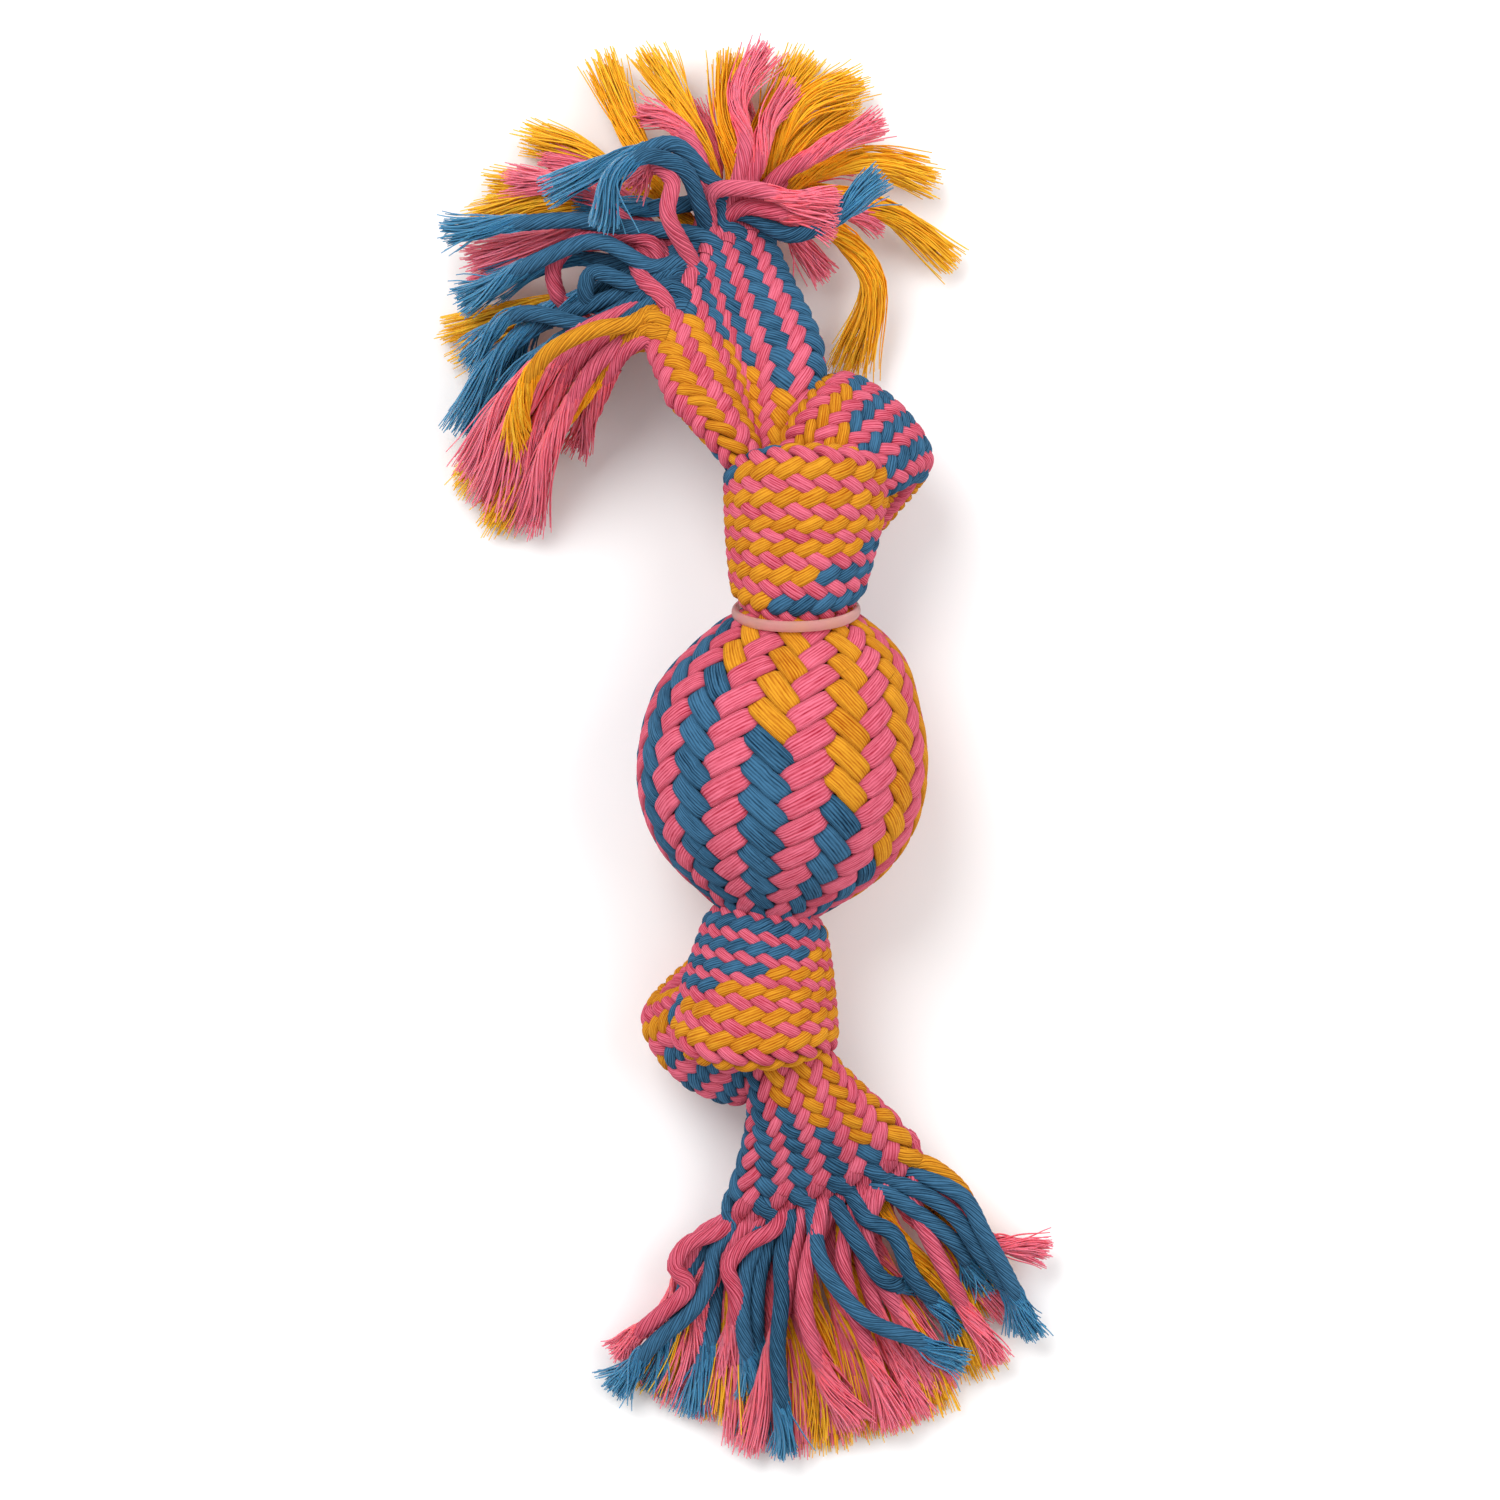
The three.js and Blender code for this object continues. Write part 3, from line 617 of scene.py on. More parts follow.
LOWER_BIGHT = {
    "points": np.array([(-4.4, -54.2, 31), (-9.4, -60.2, 31.5), (-14.9, -66, 28.5), (-19.3, -69.8, 20.5),
                        (-17.9, -67.7, 12.5), (-12.4, -61.7, 9.6), (-6.5, -55, 12.5),
                        (-2, -49.5, 19)]) / 1000,
    "across": (-0.77, 0.64, 0),
    "widths": (0.006, 0.0105, 0.0138, 0.0150, 0.0150, 0.0138, 0.010),
    "thicks": (0.003, 0.005, 0.006, 0.005, 0.0035, 0.0035),
    "rises": (0.002, 0.005, 0.0055, 0.003, 0.001),
    "creases": (0, 0),
}
for end, shape, yellow_from in (("upper", UPPER_BIGHT, -12), ("lower", LOWER_BIGHT, -29)):
    bight_place, units = rope_place(rope_unit=BIGHT_UNIT, **shape)
    bight_parts = braid(bight_place, 0, units, sides=BIGHT_SIDES, yellow_from=yellow_from, **ROPE_WEAVE)
    for colour, parts in bight_parts.items():
        bight = piece(f"{end}_knot_bight_{colour}", parts, COTTON[colour])
        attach(bight, f"{end}_knot")
        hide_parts(f"{end}_knot_bight", f"{end}_knot_core")

# Free legs: the flat braid that leaves each knot's mouth, its edges turned up, and spreads to the end where
# its strands come loose. The upper one has come undone further on its left side.
LEG_UNIT = 0.0022
LEG_SIDES = 12
UNDONE_OVER = 1.1
UPPER_LEG = {
    "points": np.array([(-3, 66, 39.5), (-4.5, 80, 42.5), (-7, 94, 41.5), (-12, 106.5, 37.5),
                        (-17, 117.5, 32.5), (-21.5, 130, 27.5)]) / 1000,
    "across": (0.90, 0.37, -0.40),
    "widths": (0.0058, 0.0082, 0.0158, 0.0202, 0.0200, 0.0194, 0.0184),
    "thicks": (0.0026, 0.0026, 0.0026, 0.0024, 0.0022),
    "rises": (0.001, 0.001, 0.002, 0.002, 0.001),
    "creases": (0.004, 0.008, 0.010, 0.0065, 0.003, 0.001),
    "slant": 14,
}
LOWER_LEG = {
    "points": np.array([(-1, -62, 33), (2.2, -75, 31.6), (6.4, -87, 25.5), (9, -96, 19.5),
                        (10.5, -103.5, 15)]) / 1000,
    "across": (-0.978, -0.208, 0),
    "widths": (0.0055, 0.0074, 0.0104, 0.0146, 0.0194, 0.0236),
    "thicks": (0.0035, 0.0045, 0.0045, 0.0035, 0.0025),
    "rises": (0.002, 0.003, 0.003, 0.002, 0.001),
    "creases": (0, 0),
    "slant": 8,
    "front_share": 0.22,
    "loosen": 1.2,
}
LEGS = {}


def leg_end(u, stop, step):
    """Where a leg's braid ends: it comes undone on one side, by up to the given step earlier."""
    side = 2 / np.pi * np.arcsin(np.sin(np.pi * u / STRANDS))
    return stop - step * np.clip(1 - (side + 1) / UNDONE_OVER, 0, 1)


for end, shape, step, yellow_back in (("upper", UPPER_LEG, 8, 37), ("lower", LOWER_LEG, 0, 31.8)):
    leg_place, units = rope_place(rope_unit=LEG_UNIT, **shape)
    stop = math.floor(units) + 0.5
    yellow_from = stop - yellow_back
    leg_parts = braid(leg_place, 0, stop, sides=LEG_SIDES, yellow_from=yellow_from,
                      seen=lambda u, v: v < leg_end(u, stop, step), **ROPE_WEAVE)
    LEGS[end] = (leg_place, stop, step, yellow_from)
    for colour, parts in leg_parts.items():
        leg = piece(f"{end}_leg_{colour}", parts, COTTON[colour])
        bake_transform(leg)
        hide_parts(f"{end}_leg", f"{end}_leg_root")

# Tassels: past each leg's end the 48 strands hang loose. Pink and blue ones keep their twist nearly to the
# tip, yellow ones have come apart into long brushes of thread. Each row is a strand: its colour, the place
# round the leg that it leaves from, its tip's height, how far it arches, the share that is brushed out, and
# its route over the floor, in millimetres.
UPPER_TASSEL = [
    ("blue", -10.5, 14, 5, 0.3, (-43.2, 110.5), (-65.8, 114.5), (-81, 103.5)),
    ("blue", -8.5, 22, 6, 0.18, (-35.5, 121.2), (-47.5, 124.5), (-49, 118.5), (-39.2, 114)),
    ("blue", -6.5, 16, 8, 0.28, (-32.2, 125.8), (-46, 132.2), (-60.5, 128), (-81.2, 116.8)),
    ("blue", -4.5, 18, 6, 0.28, (-41.2, 136.2), (-52.2, 137.8), (-70.2, 136.8), (-85.2, 134.8)),
    ("blue", 0, 36, 12, 0.34, (-20.5, 141.2), (-24.8, 150), (-34.5, 152.8), (-41.2, 148.5),
     (-45, 135.5)),
    ("blue", 3.5, 30, 9, 0.36, (-17.5, 147.5), (-27.2, 156.5), (-37.5, 153.5), (-59.5, 145.5)),
    ("blue", -2.5, 12, 2, 0.45, (-35.5, 127), (-55.5, 129), (-74.2, 121.5)),
    ("blue", -7.5, 10, 3, 0.45, (-45.5, 117.5), (-68, 107.5), (-82, 85.8)),
    ("blue", -9, 9, 2, 0.5, (-43, 113.8), (-65.5, 101.2), (-78, 85)),
    ("blue", -5.5, 12, 2, 0.5, (-48, 120), (-63, 112.5), (-70.5, 97.5)),
    ("blue", 9.5, 30, 6, 0.34, (-14, 140), (-9, 139.5), (2, 134), (11, 137), (25.5, 148.5)),
    ("blue", 6, 22, 3, 0.4, (-15.5, 142.5), (-30.5, 141.2), (-51.8, 142.5)),
    ("pink", 35, 8, 8, 0.6, (-39.2, 104.5), (-46, 93.8), (-53, 81)),
    ("pink", 34, 5, 9, 0.6, (-45.5, 102), (-57.5, 82.5), (-64.2, 61)),
    ("pink", 33, 6, 9, 0.6, (-48, 105), (-61.8, 85), (-69, 64.8)),
    ("pink", 32, 8, 9, 0.6, (-49.2, 107.5), (-65.5, 90), (-76, 67.5)),
    ("pink", 31, 9, 9, 0.6, (-49.2, 110), (-68, 95), (-80, 74.8)),
    ("pink", -11, 12, 7, 0.2, (-30, 118), (-35, 123), (-36.5, 129), (-34, 136)),
    ("pink", -8, 18, 4, 0.15, (-33, 132.5), (-49.2, 133.5), (-57.2, 127), (-55.5, 118),
     (-48.5, 113)),
    ("pink", -3, 32, 8, 0.2, (-28.5, 138.8), (-27.5, 147), (-31.8, 150.8), (-37.5, 146.5)),
    ("pink", 27.5, 12, 1, 0.5, (-35.5, 136), (-55.5, 134.5), (-78.5, 130.2)),
    ("pink", 29, 9, 1, 0.5, (-35.5, 132.5), (-55.5, 131.2), (-79.5, 125.8)),
    ("pink", 5, 36, 7, 0.3, (-17.5, 144.5), (-6.8, 145), (4.5, 142), (14, 141)),
    ("pink", 7, 33, 6, 0.3, (-14, 138.5), (-9, 141), (-1, 139.5), (14, 137)),
    ("pink", 26, 12, 6, 0.5, (-35.5, 133.8), (-50.5, 146.2), (-68.8, 150.5)),
    ("pink", 24.5, 9, 4, 0.5, (-35.5, 138.8), (-48, 151.2), (-60.5, 154.5)),
    ("pink", 23, 14, 3, 0.4, (-33, 135), (-45.5, 141.2), (-56.8, 143.5)),
    ("pink", -1, 16, 8, 0.35, (-21, 153.8), (-27.8, 163), (-36, 167)),
    ("pink", 20, 8, 3, 0.5, (-16.8, 151.2), (-19.2, 161.2), (-23, 168)),
    ("pink", 1, 14, 8, 0.5, (-9.2, 155), (-11.2, 168.8), (-3.5, 182.5)),
    ("pink", 3, 16, 8, 0.5, (-6, 152.5), (-3.5, 162.5), (3.8, 171)),
    ("pink", 9, 18, 9, 0.45, (-2.5, 147.5), (10.5, 155.8), (25.5, 163.5)),
    ("pink", 10, 12, 4, 0.4, (2, 141.2), (14.5, 141.8), (25.5, 140)),
    ("pink", 11.5, 10, 3, 0.45, (-10, 140), (-2, 141), (5.5, 132), (11, 124.8)),
    ("pink", 8, 9, 3, 0.5, (-3, 145), (7, 150.5), (17.5, 154.5)),
    ("pink", 18, 6, 3, 0.5, (-6.8, 150), (-8, 162.5), (-11.8, 171.2)),
    ("yellow", -12.5, 15, 17, 0.42, (-38, 111), (-46.5, 109.5), (-58.5, 103.5), (-65.2, 92.5),
     (-66, 77.5)),
    ("yellow", -14.5, 3, -7, 0.5, (-37, 106), (-46, 101), (-60, 86), (-72, 64)),
    ("yellow", 33, 3, 2, 0.7, (-45.5, 98.8), (-61.8, 80), (-73.8, 61.8)),
    ("yellow", 30, 4, -3, 0.7, (-30, 121), (-46, 118), (-65.5, 115), (-84.8, 109.2)),
    ("yellow", 31, 6, 2, 0.7, (-40.5, 138.8), (-60.5, 143.8), (-78.8, 141)),
    ("yellow", 29, 5, 3, 0.7, (-35.5, 145), (-50.5, 155.5), (-65.2, 160)),
    ("yellow", 27, 8, 4, 0.75, (-29.2, 145), (-37.5, 160), (-44.2, 181)),
    ("yellow", 25, 10, 5, 0.75, (-18, 150), (-25.5, 166.2), (-34.8, 181)),
    ("yellow", 23, 7, 4, 0.75, (-11.8, 150), (-14, 165), (-11, 181.2)),
    ("yellow", 21, 8, 5, 0.7, (-4.2, 151.2), (4.5, 167.5), (20, 174.5)),
    ("yellow", 19, 8, 5, 0.7, (2, 147.5), (20, 154.2), (38.8, 150.8)),
    ("yellow", 17, 6, 4, 0.7, (4.5, 145), (25.8, 142), (43.5, 129.5)),
    ("yellow", 15, 5, 6, 0.7, (2, 141.2), (13.2, 136.5), (23, 123.8), (17.8, 101.5)),
    ("yellow", 22, 5, 3, 0.75, (-8, 155), (-0.5, 170), (6, 181.5)),
    ("yellow", 20, 6, 4, 0.75, (-0.5, 152.5), (10.8, 162.5), (18.5, 166.5)),
    ("yellow", 30, 4, 2, 0.7, (-43, 137.5), (-60.5, 146.2), (-73.8, 148)),
    ("yellow", 33, 3, 1, 0.7, (-45.5, 105), (-65.5, 90), (-81, 71.8)),
]
LOWER_TASSEL = [
    ("blue", -9.5, 7, 6, 0.2, (37, -103), (46, -108), (51, -117), (57, -128), (64, -144)),
    ("blue", -7.5, 6, 4, 0.2, (36, -107), (44, -113), (50, -122), (57, -131), (62, -141)),
    ("blue", -5.5, 6, 5, 0.2, (26, -106), (36, -113), (45, -121), (50, -133)),
    ("blue", -3.5, 6, 5, 0.22, (21, -113), (28, -117), (33, -128), (39, -135), (46, -142)),
    ("blue", -1.5, 8, 9, 0.15, (16, -114), (21, -122), (26, -129), (35, -131)),
    ("blue", 0.5, 10, 8, 0.2, (10, -124), (21, -138), (34, -144), (46, -151)),
    ("blue", 2.5, 7, 5, 0.2, (2, -114), (0, -122), (0, -133), (-1, -146), (0, -160), (1, -174)),
    ("blue", 4.5, 7, 4, 0.2, (-6, -119), (-9, -126), (-10, -137), (-9, -146), (-6, -158)),
    ("blue", 6.5, 6, 4, 0.2, (-13, -116), (-17, -122), (-18, -128), (-22, -136), (-32, -145), (-43, -158)),
    ("blue", 8.5, 5, 2, 0.3, (-15, -122), (-17, -135), (-18, -145), (-21, -155), (-23, -164)),
    ("blue", 11.5, 4, 2, 0.35, (-22, -125), (-27, -140), (-34, -158)),
    ("blue", 13.5, 3, 1, 0.4, (-6, -130), (-6, -150), (-5, -170)),
    ("yellow", -11.5, 3, 2, 0.3, (38, -100), (45.5, -106.5), (48.5, -115), (51, -129)),
    ("yellow", -9.5, 4, 3, 0.5, (33, -102.5), (42, -107.5), (54.5, -130.5)),
    ("yellow", -7.5, 3, 2, 0.6, (25.5, -104.5), (39.5, -115), (48.2, -140)),
    ("yellow", 36, 2.6, 1, 0.75, (-15.5, -125), (-25.5, -142.5), (-33, -158)),
    ("yellow", 33, 2.6, 1, 0.75, (-11.8, -127.5), (-15, -145), (-16.5, -164)),
    ("yellow", 30.5, 2.6, 1, 0.75, (-6.8, -127.5), (-8, -147.5), (-9.2, -168)),
    ("yellow", 28, 2.6, 1, 0.75, (0.8, -125), (3.2, -147.5), (4.5, -170.5)),
    ("yellow", 25.5, 2.6, 1, 0.75, (5.8, -122.5), (11.5, -147.5), (15, -171.5)),
    ("yellow", 23, 2.6, 1, 0.75, (10.8, -120), (17, -145), (22, -169.2)),
    ("yellow", 20.5, 2.6, 1, 0.75, (15.8, -117.5), (24.5, -142.5), (30, -166)),
    ("yellow", 18, 2.6, 1, 0.75, (20.8, -115), (33.2, -140), (41.2, -162)),
    ("yellow", 15.5, 2.6, 1, 0.75, (25.8, -112.5), (40.8, -132.5), (51.2, -153.5)),
    ("pink", -11.5, 8, 4, 0.3, (37.5, -104.5), (50.8, -118.2), (67.8, -121.8)),
    ("pink", -9.5, 6, 4, 0.3, (33.2, -107.5), (43.2, -130), (55.2, -150.2)),
    ("pink", -7.5, 5, 3, 0.35, (24, -108.2), (21.5, -119.5), (30.8, -140), (38.8, -158)),
    ("pink", -5, 4, 2, 0.4, (19.5, -113.8), (25, -140), (35.8, -164.5)),
    ("pink", -2.5, 7, 5, 0.3, (15.5, -122), (17.2, -133.2), (21, -144), (30, -167)),
    ("pink", 0, 8, 6, 0.3, (9, -115.5), (6, -127.8), (6.5, -140), (11, -153), (20.2, -166)),
    ("pink", 2, 4, 2, 0.4, (4.5, -130), (10, -150), (17, -168)),
    ("pink", 4, 5, 3, 0.4, (1.5, -130), (-2.2, -146.8), (-8.8, -173.2)),
    ("pink", 5.5, 5, 6, 0.3, (-1.8, -115.8), (-9.2, -120), (-13.5, -125.5), (-11.5, -133),
     (-15, -155.5)),
    ("pink", 8, 3, 1, 0.5, (-11.8, -120), (-20, -135), (-20.5, -158.5)),
    ("pink", 9.5, 6, 5, 0.15, (-16.8, -117), (-24, -120), (-27, -125.5), (-23.5, -130.5),
     (-31.5, -138.5), (-42.8, -148.2)),
    ("pink", 11.5, 4, 4, 0.3, (-14, -114), (-20, -117.5), (-24, -125), (-29.5, -140.5)),
    ("pink", 36, 2.6, 1, 0.6, (-19.2, -126.2), (-28, -140), (-35.5, -155.5)),
    ("pink", 34, 2.6, 1, 0.6, (-16.8, -126.2), (-23, -142.5), (-28.5, -160.5)),
    ("pink", 32, 2.6, 1, 0.6, (-13, -126.2), (-16.8, -145), (-20, -164.2)),
    ("pink", 30, 2.6, 1, 0.6, (-8, -126.2), (-10, -147.5), (-11.8, -170.5)),
    ("pink", 28, 2.6, 1, 0.6, (-3, -125), (-3, -147.5), (-2.8, -173)),
    ("pink", 26, 2.6, 1, 0.6, (2, -123.8), (3.8, -147.5), (4.8, -173.2)),
    ("pink", 24, 2.6, 1, 0.6, (7, -122.5), (10, -147.5), (12.2, -170.5)),
    ("pink", 22, 2.6, 1, 0.6, (12, -120), (17, -145), (22.5, -168)),
    ("pink", 20, 2.6, 1, 0.6, (17, -117.5), (24.5, -140), (32.2, -163)),
    ("pink", 18, 2.6, 1, 0.6, (22, -116.2), (32, -135), (42.5, -156.5)),
    ("pink", 16, 2.6, 1, 0.6, (27, -113.8), (39.5, -130), (51, -145.5)),
    ("pink", 14, 2.6, 1, 0.6, (30.8, -110), (44.5, -123.8), (57.5, -138)),
]
LOOSE_RADIUS = 0.00205
LOOSE_RINGS = 48
FLOOR_GAP = 0.0002
LEAD = 0.0035
LEAD_SHARE = 0.4
LOBES = 11
LOBE_DEPTH = 0.045
TWIST = 2 * np.pi / 0.027
BODY_SHARE = 0.65
BODY_THINNING = 0.75
BODY_RINGS = 6
THREADS = {"pink": 100, "blue": 100, "yellow": 125}
SPREADS = {"pink": 1.55, "blue": 1.5, "yellow": 1.85}
THREAD_RADIUS = 0.00029
THREAD_FLOOR = 0.0005
BRUSH_REACH = 1.12
BRUSH_UNTWIST = 0.6
BRUSH_FILL = 0.92
BRUSH_FLATNESS = 0.8
LOCKS = 7
LOCK_CURL = 0.0011
LOCK_PACE = (3, 8)
LOCK_PHASE = 6
THREAD_CURL = 0.0004
THREAD_WAVE = 0.0004
THREAD_REACH = (0.90, 1.04)
THREAD_TAPER = 0.45
# Brush threads are painted darker and deeper in colour at their roots, where they lie in shade, and lighter
# towards their tips.
PAINTED_ROOT_SHADE = 0.55
OWN_TONE = 0.45
STRAY_SHARE = 0.035
STRAY_CURL = 5
lobe_angles = 2 * np.pi * np.arange(4 * LOBES) / (4 * LOBES)
lobe_relief = np.cos(LOBES * lobe_angles)
lobe_round = np.stack([np.cos(lobe_angles), np.sin(lobe_angles)], -1)
lobe_section = lobe_round * (1 + LOBE_DEPTH * lobe_relief)[:, None]


def loose_thread(name, light, deep):
    """Untwisted cotton thread: plain and matte, and light shines through it a little."""
    material = bpy.data.materials.new(name)
    material.use_nodes = True
    nodes, links = material.node_tree.nodes, material.node_tree.links
    finish = nodes["Principled BSDF"]
    finish.inputs["Roughness"].default_value = 0.9
    finish.inputs["Specular IOR Level"].default_value = 0.1
    finish.inputs["Subsurface Weight"].default_value = 0.5
    finish.inputs["Subsurface Radius"].default_value = (1, 0.8, 0.6)
    finish.inputs["Subsurface Scale"].default_value = 0.0006
    # The ramp runs from the deep colour at the shaded roots to the light colour at the tips: painted shade,
    # mixed with each thread's random tone.
    tone = nodes.new("ShaderNodeAttribute")
    tone.attribute_name = "tone"
    ramp = nodes.new("ShaderNodeValToRGB")
    ramp.color_ramp.elements[0].color = (*deep, 1)
    ramp.color_ramp.elements[1].color = (*light, 1)
    links.new(tone.outputs["Fac"], ramp.inputs["Fac"])
    links.new(ramp.outputs["Color"], finish.inputs["Base Color"])
    return material


LOOSE_THREAD = {
    "pink": loose_thread("pink_thread", (1.0, 0.230, 0.330), (0.80, 0.090, 0.120)),
    "blue": loose_thread("blue_thread", (0.085, 0.300, 0.500), (0.022, 0.120, 0.250)),
    "yellow": loose_thread("yellow_thread", (1.0, 0.540, 0.034), (1.0, 0.270, 0.003)),
}


def loose_frame(centres):
    """Side and up directions along a loose strand, which lies more or less flat."""
    heading = unit(np.gradient(centres, axis=0))
    side = unit(np.cross(heading, (0, 0, 1)) + 1e-9)
    return heading, side, np.cross(side, heading)


def twisted_strand(centres, brush):
    """Twisted body of a loose strand, which thins out inside its brush."""
    run = np.linspace(0, 1, len(centres))
    length = np.sum(np.linalg.norm(np.diff(centres, axis=0), axis=1))
    _, side, up = loose_frame(centres)
    angle = TWIST * length * run
    turned_side = side * np.cos(angle)[:, None] + up * np.sin(angle)[:, None]
    turned_up = up * np.cos(angle)[:, None] - side * np.sin(angle)[:, None]
    last = 1 - brush * BODY_SHARE
    taper = 0.5 * brush
    radius = LOOSE_RADIUS * (1 - BODY_THINNING * ease((run - last + taper) / (taper + 0.02)))
    stop = int(np.searchsorted(run, last)) + 1
    cut = slice(0, max(stop, BODY_RINGS))
    # Painted shade: the relief darkens the grooves between the twist's lobes.
    return tubes(centres[None, cut], turned_side[None, cut], turned_up[None, cut], radius[None, cut],
                 radius[None, cut], lobe_section, 2 * LOBES, 0.6 + 0.4 * lobe_relief)


def brushed_threads(centres, brush, spread, count):
    """Threads of a strand's brush: they leave the twist, spread in locks and end unevenly."""
    rings = 8 + int(brush * 10)
    run = np.linspace(0, 1, len(centres))
    steps = np.linspace(0, 1, rings)[None, :]
    reach = rng.uniform(*THREAD_REACH, (count, 1))
    share = 1 - brush * BRUSH_REACH + brush * BRUSH_REACH * steps * reach
    heading, side, up = loose_frame(centres)
    inside = np.clip(share, 0, 1)
    table = [np.stack([np.interp(inside, run, part[:, k]) for k in range(3)], -1)
             for part in (centres, heading, side, up)]
    length = np.sum(np.linalg.norm(np.diff(centres, axis=0), axis=1))
    turned = share - BRUSH_UNTWIST * brush * steps ** 2
    angle = rng.uniform(0, 2 * np.pi, (count, 1)) + TWIST * length * turned
    deep = LOOSE_RADIUS * BRUSH_FILL * np.sqrt(rng.uniform(0.02, 1, (count, 1)))
    grow = deep * (1 + (spread - 1) * steps ** 1.4)
    lock = rng.integers(0, LOCKS, count)
    stray = np.where(rng.random((count, 1)) < STRAY_SHARE, STRAY_CURL, 1)
    lock_curl = rng.normal(0, LOCK_CURL, (LOCKS, 2))[lock]
    curl = spread * (lock_curl + rng.normal(0, THREAD_CURL, (count, 2)) * stray)
    pace = rng.uniform(*LOCK_PACE, (LOCKS, 1))[lock]
    phase = rng.uniform(0, LOCK_PHASE, (LOCKS, 1))[lock]
    wave = THREAD_WAVE * np.sin(steps * pace + phase + 0.3 * rng.normal(0, 1, (count, 1))) * stray ** 0.5
    out_side = grow * np.cos(angle) + curl[:, :1] * steps ** 2 + wave
    out_up = BRUSH_FLATNESS * grow * np.sin(angle) + curl[:, 1:] * 0.5 * steps ** 2
    place = (table[0] + table[1] * ((share - inside) * length)[..., None]
             + table[2] * out_side[..., None] + table[3] * out_up[..., None])
    place[..., 2] = np.maximum(place[..., 2], THREAD_FLOOR)
    along = unit(np.gradient(place, axis=1))
    thread_side = unit(np.cross(along, np.array((0.05, 0.02, 1.0))))
    thread_up = np.cross(thread_side, along)
    radius = THREAD_RADIUS * (1 - THREAD_TAPER * steps ** 3) * np.ones((count, 1))
    # Painted shade: darker at the root, lighter towards the tip, plus each thread's own random tone.
    tone = PAINTED_ROOT_SHADE * steps + OWN_TONE * rng.random((count, 1))
    return tubes(place, thread_side, thread_up, radius, radius, ribbon_section(3, 1), 1, 1, tone)


BEND_COST = 7
TURN_COST = 0.2
USED_COST = 1000
TAKEN_COST = 1e6
SWAP_ROUNDS = 4


def fit_roots(ends, rows):
    """Root of each loose strand: near the start of its route and heading that way.

    Each root is used once if that can be."""
    cost = np.zeros((len(rows), len(ends)))
    for i, row in enumerate(rows):
        for k, (u, line, heading) in enumerate(ends):
            way = np.array(row[5]) / 1000 - line[-1][:2]
            bend = 1 - np.dot(unit(way), unit(heading[:2]))
            turn = abs((u - row[1] + STRANDS) % ROUND - STRANDS)
            cost[i, k] = 1000 * np.linalg.norm(way) + BEND_COST * bend + TURN_COST * turn
    used = np.zeros(len(ends))
    picks = np.full(len(rows), -1)
    for _ in rows:
        price = cost + USED_COST * used + np.where(picks >= 0, TAKEN_COST, 0)[:, None]
        row, root = np.unravel_index(np.argmin(price), price.shape)
        picks[row] = root
        used[root] += 1
    for _ in range(SWAP_ROUNDS):
        for i in range(len(rows)):
            for j in range(i):
                if cost[i, picks[j]] + cost[j, picks[i]] < cost[i, picks[i]] + cost[j, picks[j]]:
                    picks[i], picks[j] = picks[j], picks[i]
    return picks


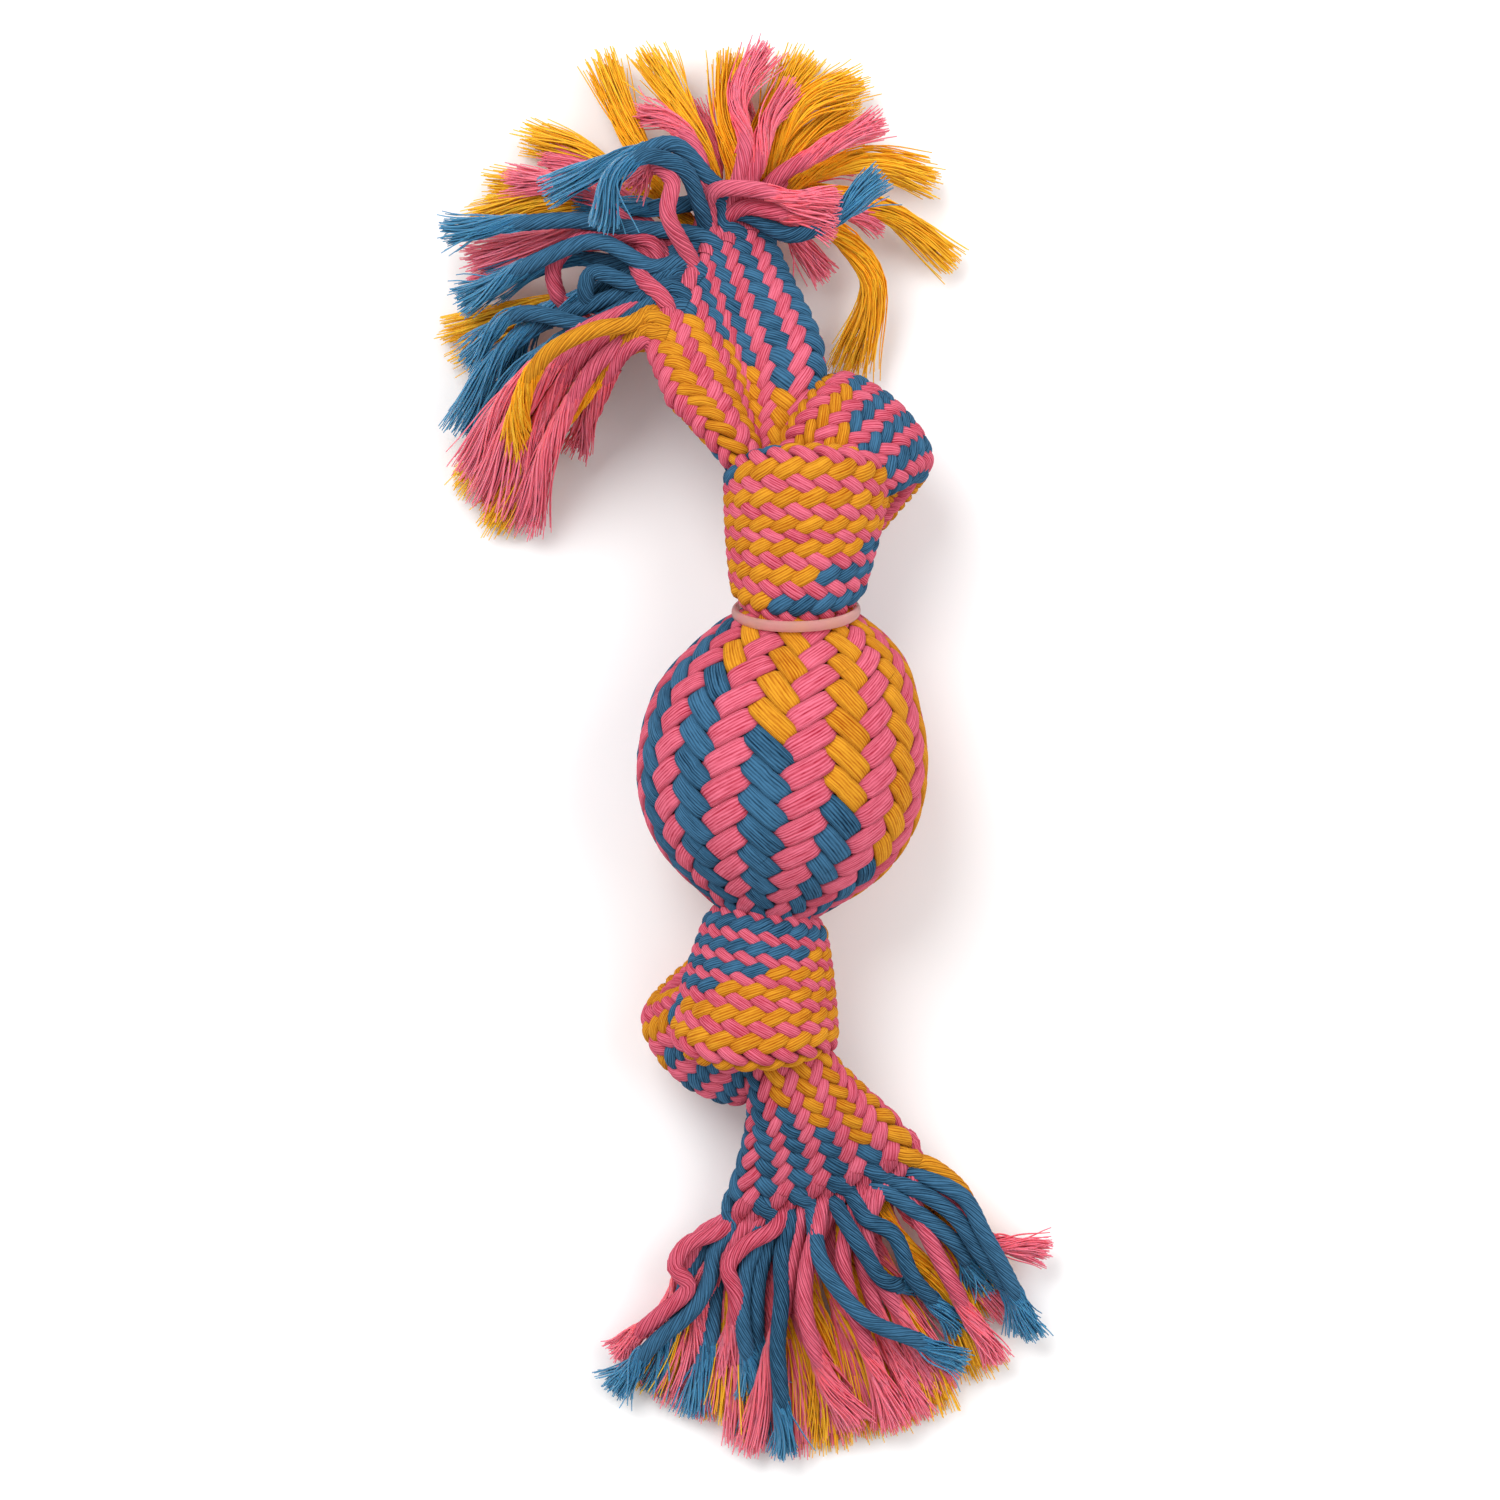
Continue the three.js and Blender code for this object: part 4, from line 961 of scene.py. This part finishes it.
for end, table in (("upper", UPPER_TASSEL), ("lower", LOWER_TASSEL)):
    leg_place, stop, step, yellow_from = LEGS[end]
    roots = {colour: [] for colour in COTTON}
    for family in (1, -1):
        u, v, centres, *_ = strand_lines(leg_place, 0, stop, family, STRAND_LIFT, ROPE_WEAVE["firm"])
        heading = strand_lines(leg_place, 0, stop, family, 0, ROPE_WEAVE["firm"])[3]
        for k in range(STRANDS):
            last = np.count_nonzero(v[k] <= leg_end(u[k], stop, step)) - 1
            root = (u[k, last] % ROUND, centres[k, last - 4:last + 1], heading[k, last])
            roots[strand_colour(family, k, yellow_from)].append(root)
    rows = sorted(table, key=lambda row: row[0])
    picks = [roots[colour][k] for colour in ("blue", "pink", "yellow")
             for k in fit_roots(roots[colour], [row for row in rows if row[0] == colour])]
    sorted_parts = {colour: [] for colour in COTTON}
    brushes = {colour: [] for colour in COTTON}
    for (colour, _, tip_height, arch, brush, *route), (_, line, heading) in zip(rows, picks):
        place = line[-1]
        lead = min(LEAD, LEAD_SHARE * np.linalg.norm(np.array(route[0]) / 1000 - place[:2]))
        flat = np.array([place[:2] + heading[:2] * lead, *(np.array(route) / 1000)])
        run = np.concatenate([[0], np.cumsum(np.linalg.norm(np.diff(flat, axis=0), axis=1))])
        run = run / run[-1]
        height = place[2] + (tip_height / 1000 - place[2]) * run + arch / 1000 * 4 * run * (1 - run)
        height[0] = place[2] + heading[2] * lead
        points = [line[0], line[2], place, *np.concatenate([flat, height[:, None]], axis=1)]
        centres, _ = smooth_path(points, LOOSE_RINGS)
        centres[:, 2] = np.maximum(centres[:, 2], LOOSE_RADIUS + FLOOR_GAP)
        sorted_parts[colour].append(twisted_strand(centres, brush))
        brushes[colour].append(brushed_threads(centres, brush, SPREADS[colour], THREADS[colour]))
    for colour in COTTON:
        loose_nodes = [part["node"] for part in frame["record"]["subparts"]
                       if part["node"].startswith(end) and "strand" in part["node"]
                       and part["material_slot"] == f"{colour}_cotton"]
        for name, parts, material in ((f"{end}_tassel_{colour}", sorted_parts[colour], COTTON[colour]),
                                      (f"{end}_fringe_{colour}", brushes[colour], LOOSE_THREAD[colour])):
            tassel = piece(name, parts, material)
            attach(tassel, f"{end}_leg")
            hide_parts(*loose_nodes)

# Floor and light: a plain pale floor, a large soft lamp from the upper left, a weaker one from the right and
# an even white surround.
bpy.ops.mesh.primitive_plane_add(size=6, location=(0, 0, -0.0002))
floor = bpy.context.object
floor.name = "floor"
floor.data.materials.append(plain("pale_floor", (0.93, 0.93, 0.93), 0.9))


def soft_lamp(name, place, size, power):
    bpy.ops.object.light_add(type="AREA", location=place)
    lamp = bpy.context.object
    lamp.name = name
    lamp.data.shape = "DISK"
    lamp.data.size = size
    lamp.data.energy = power
    lamp.rotation_euler = (-lamp.location).to_track_quat("-Z", "Y").to_euler()


soft_lamp("key_lamp", (-0.6, 0.8, 1.4), 1.1, 20)
soft_lamp("fill_lamp", (0.9, 0.2, 1.2), 1.2, 9)
world = bpy.data.worlds.new("white_surround")
world.use_nodes = True
world.node_tree.nodes["Background"].inputs["Color"].default_value = (1, 1, 1, 1)
world.node_tree.nodes["Background"].inputs["Strength"].default_value = 0.66
bpy.context.scene.world = world
bpy.context.scene.view_settings.view_transform = "Standard"
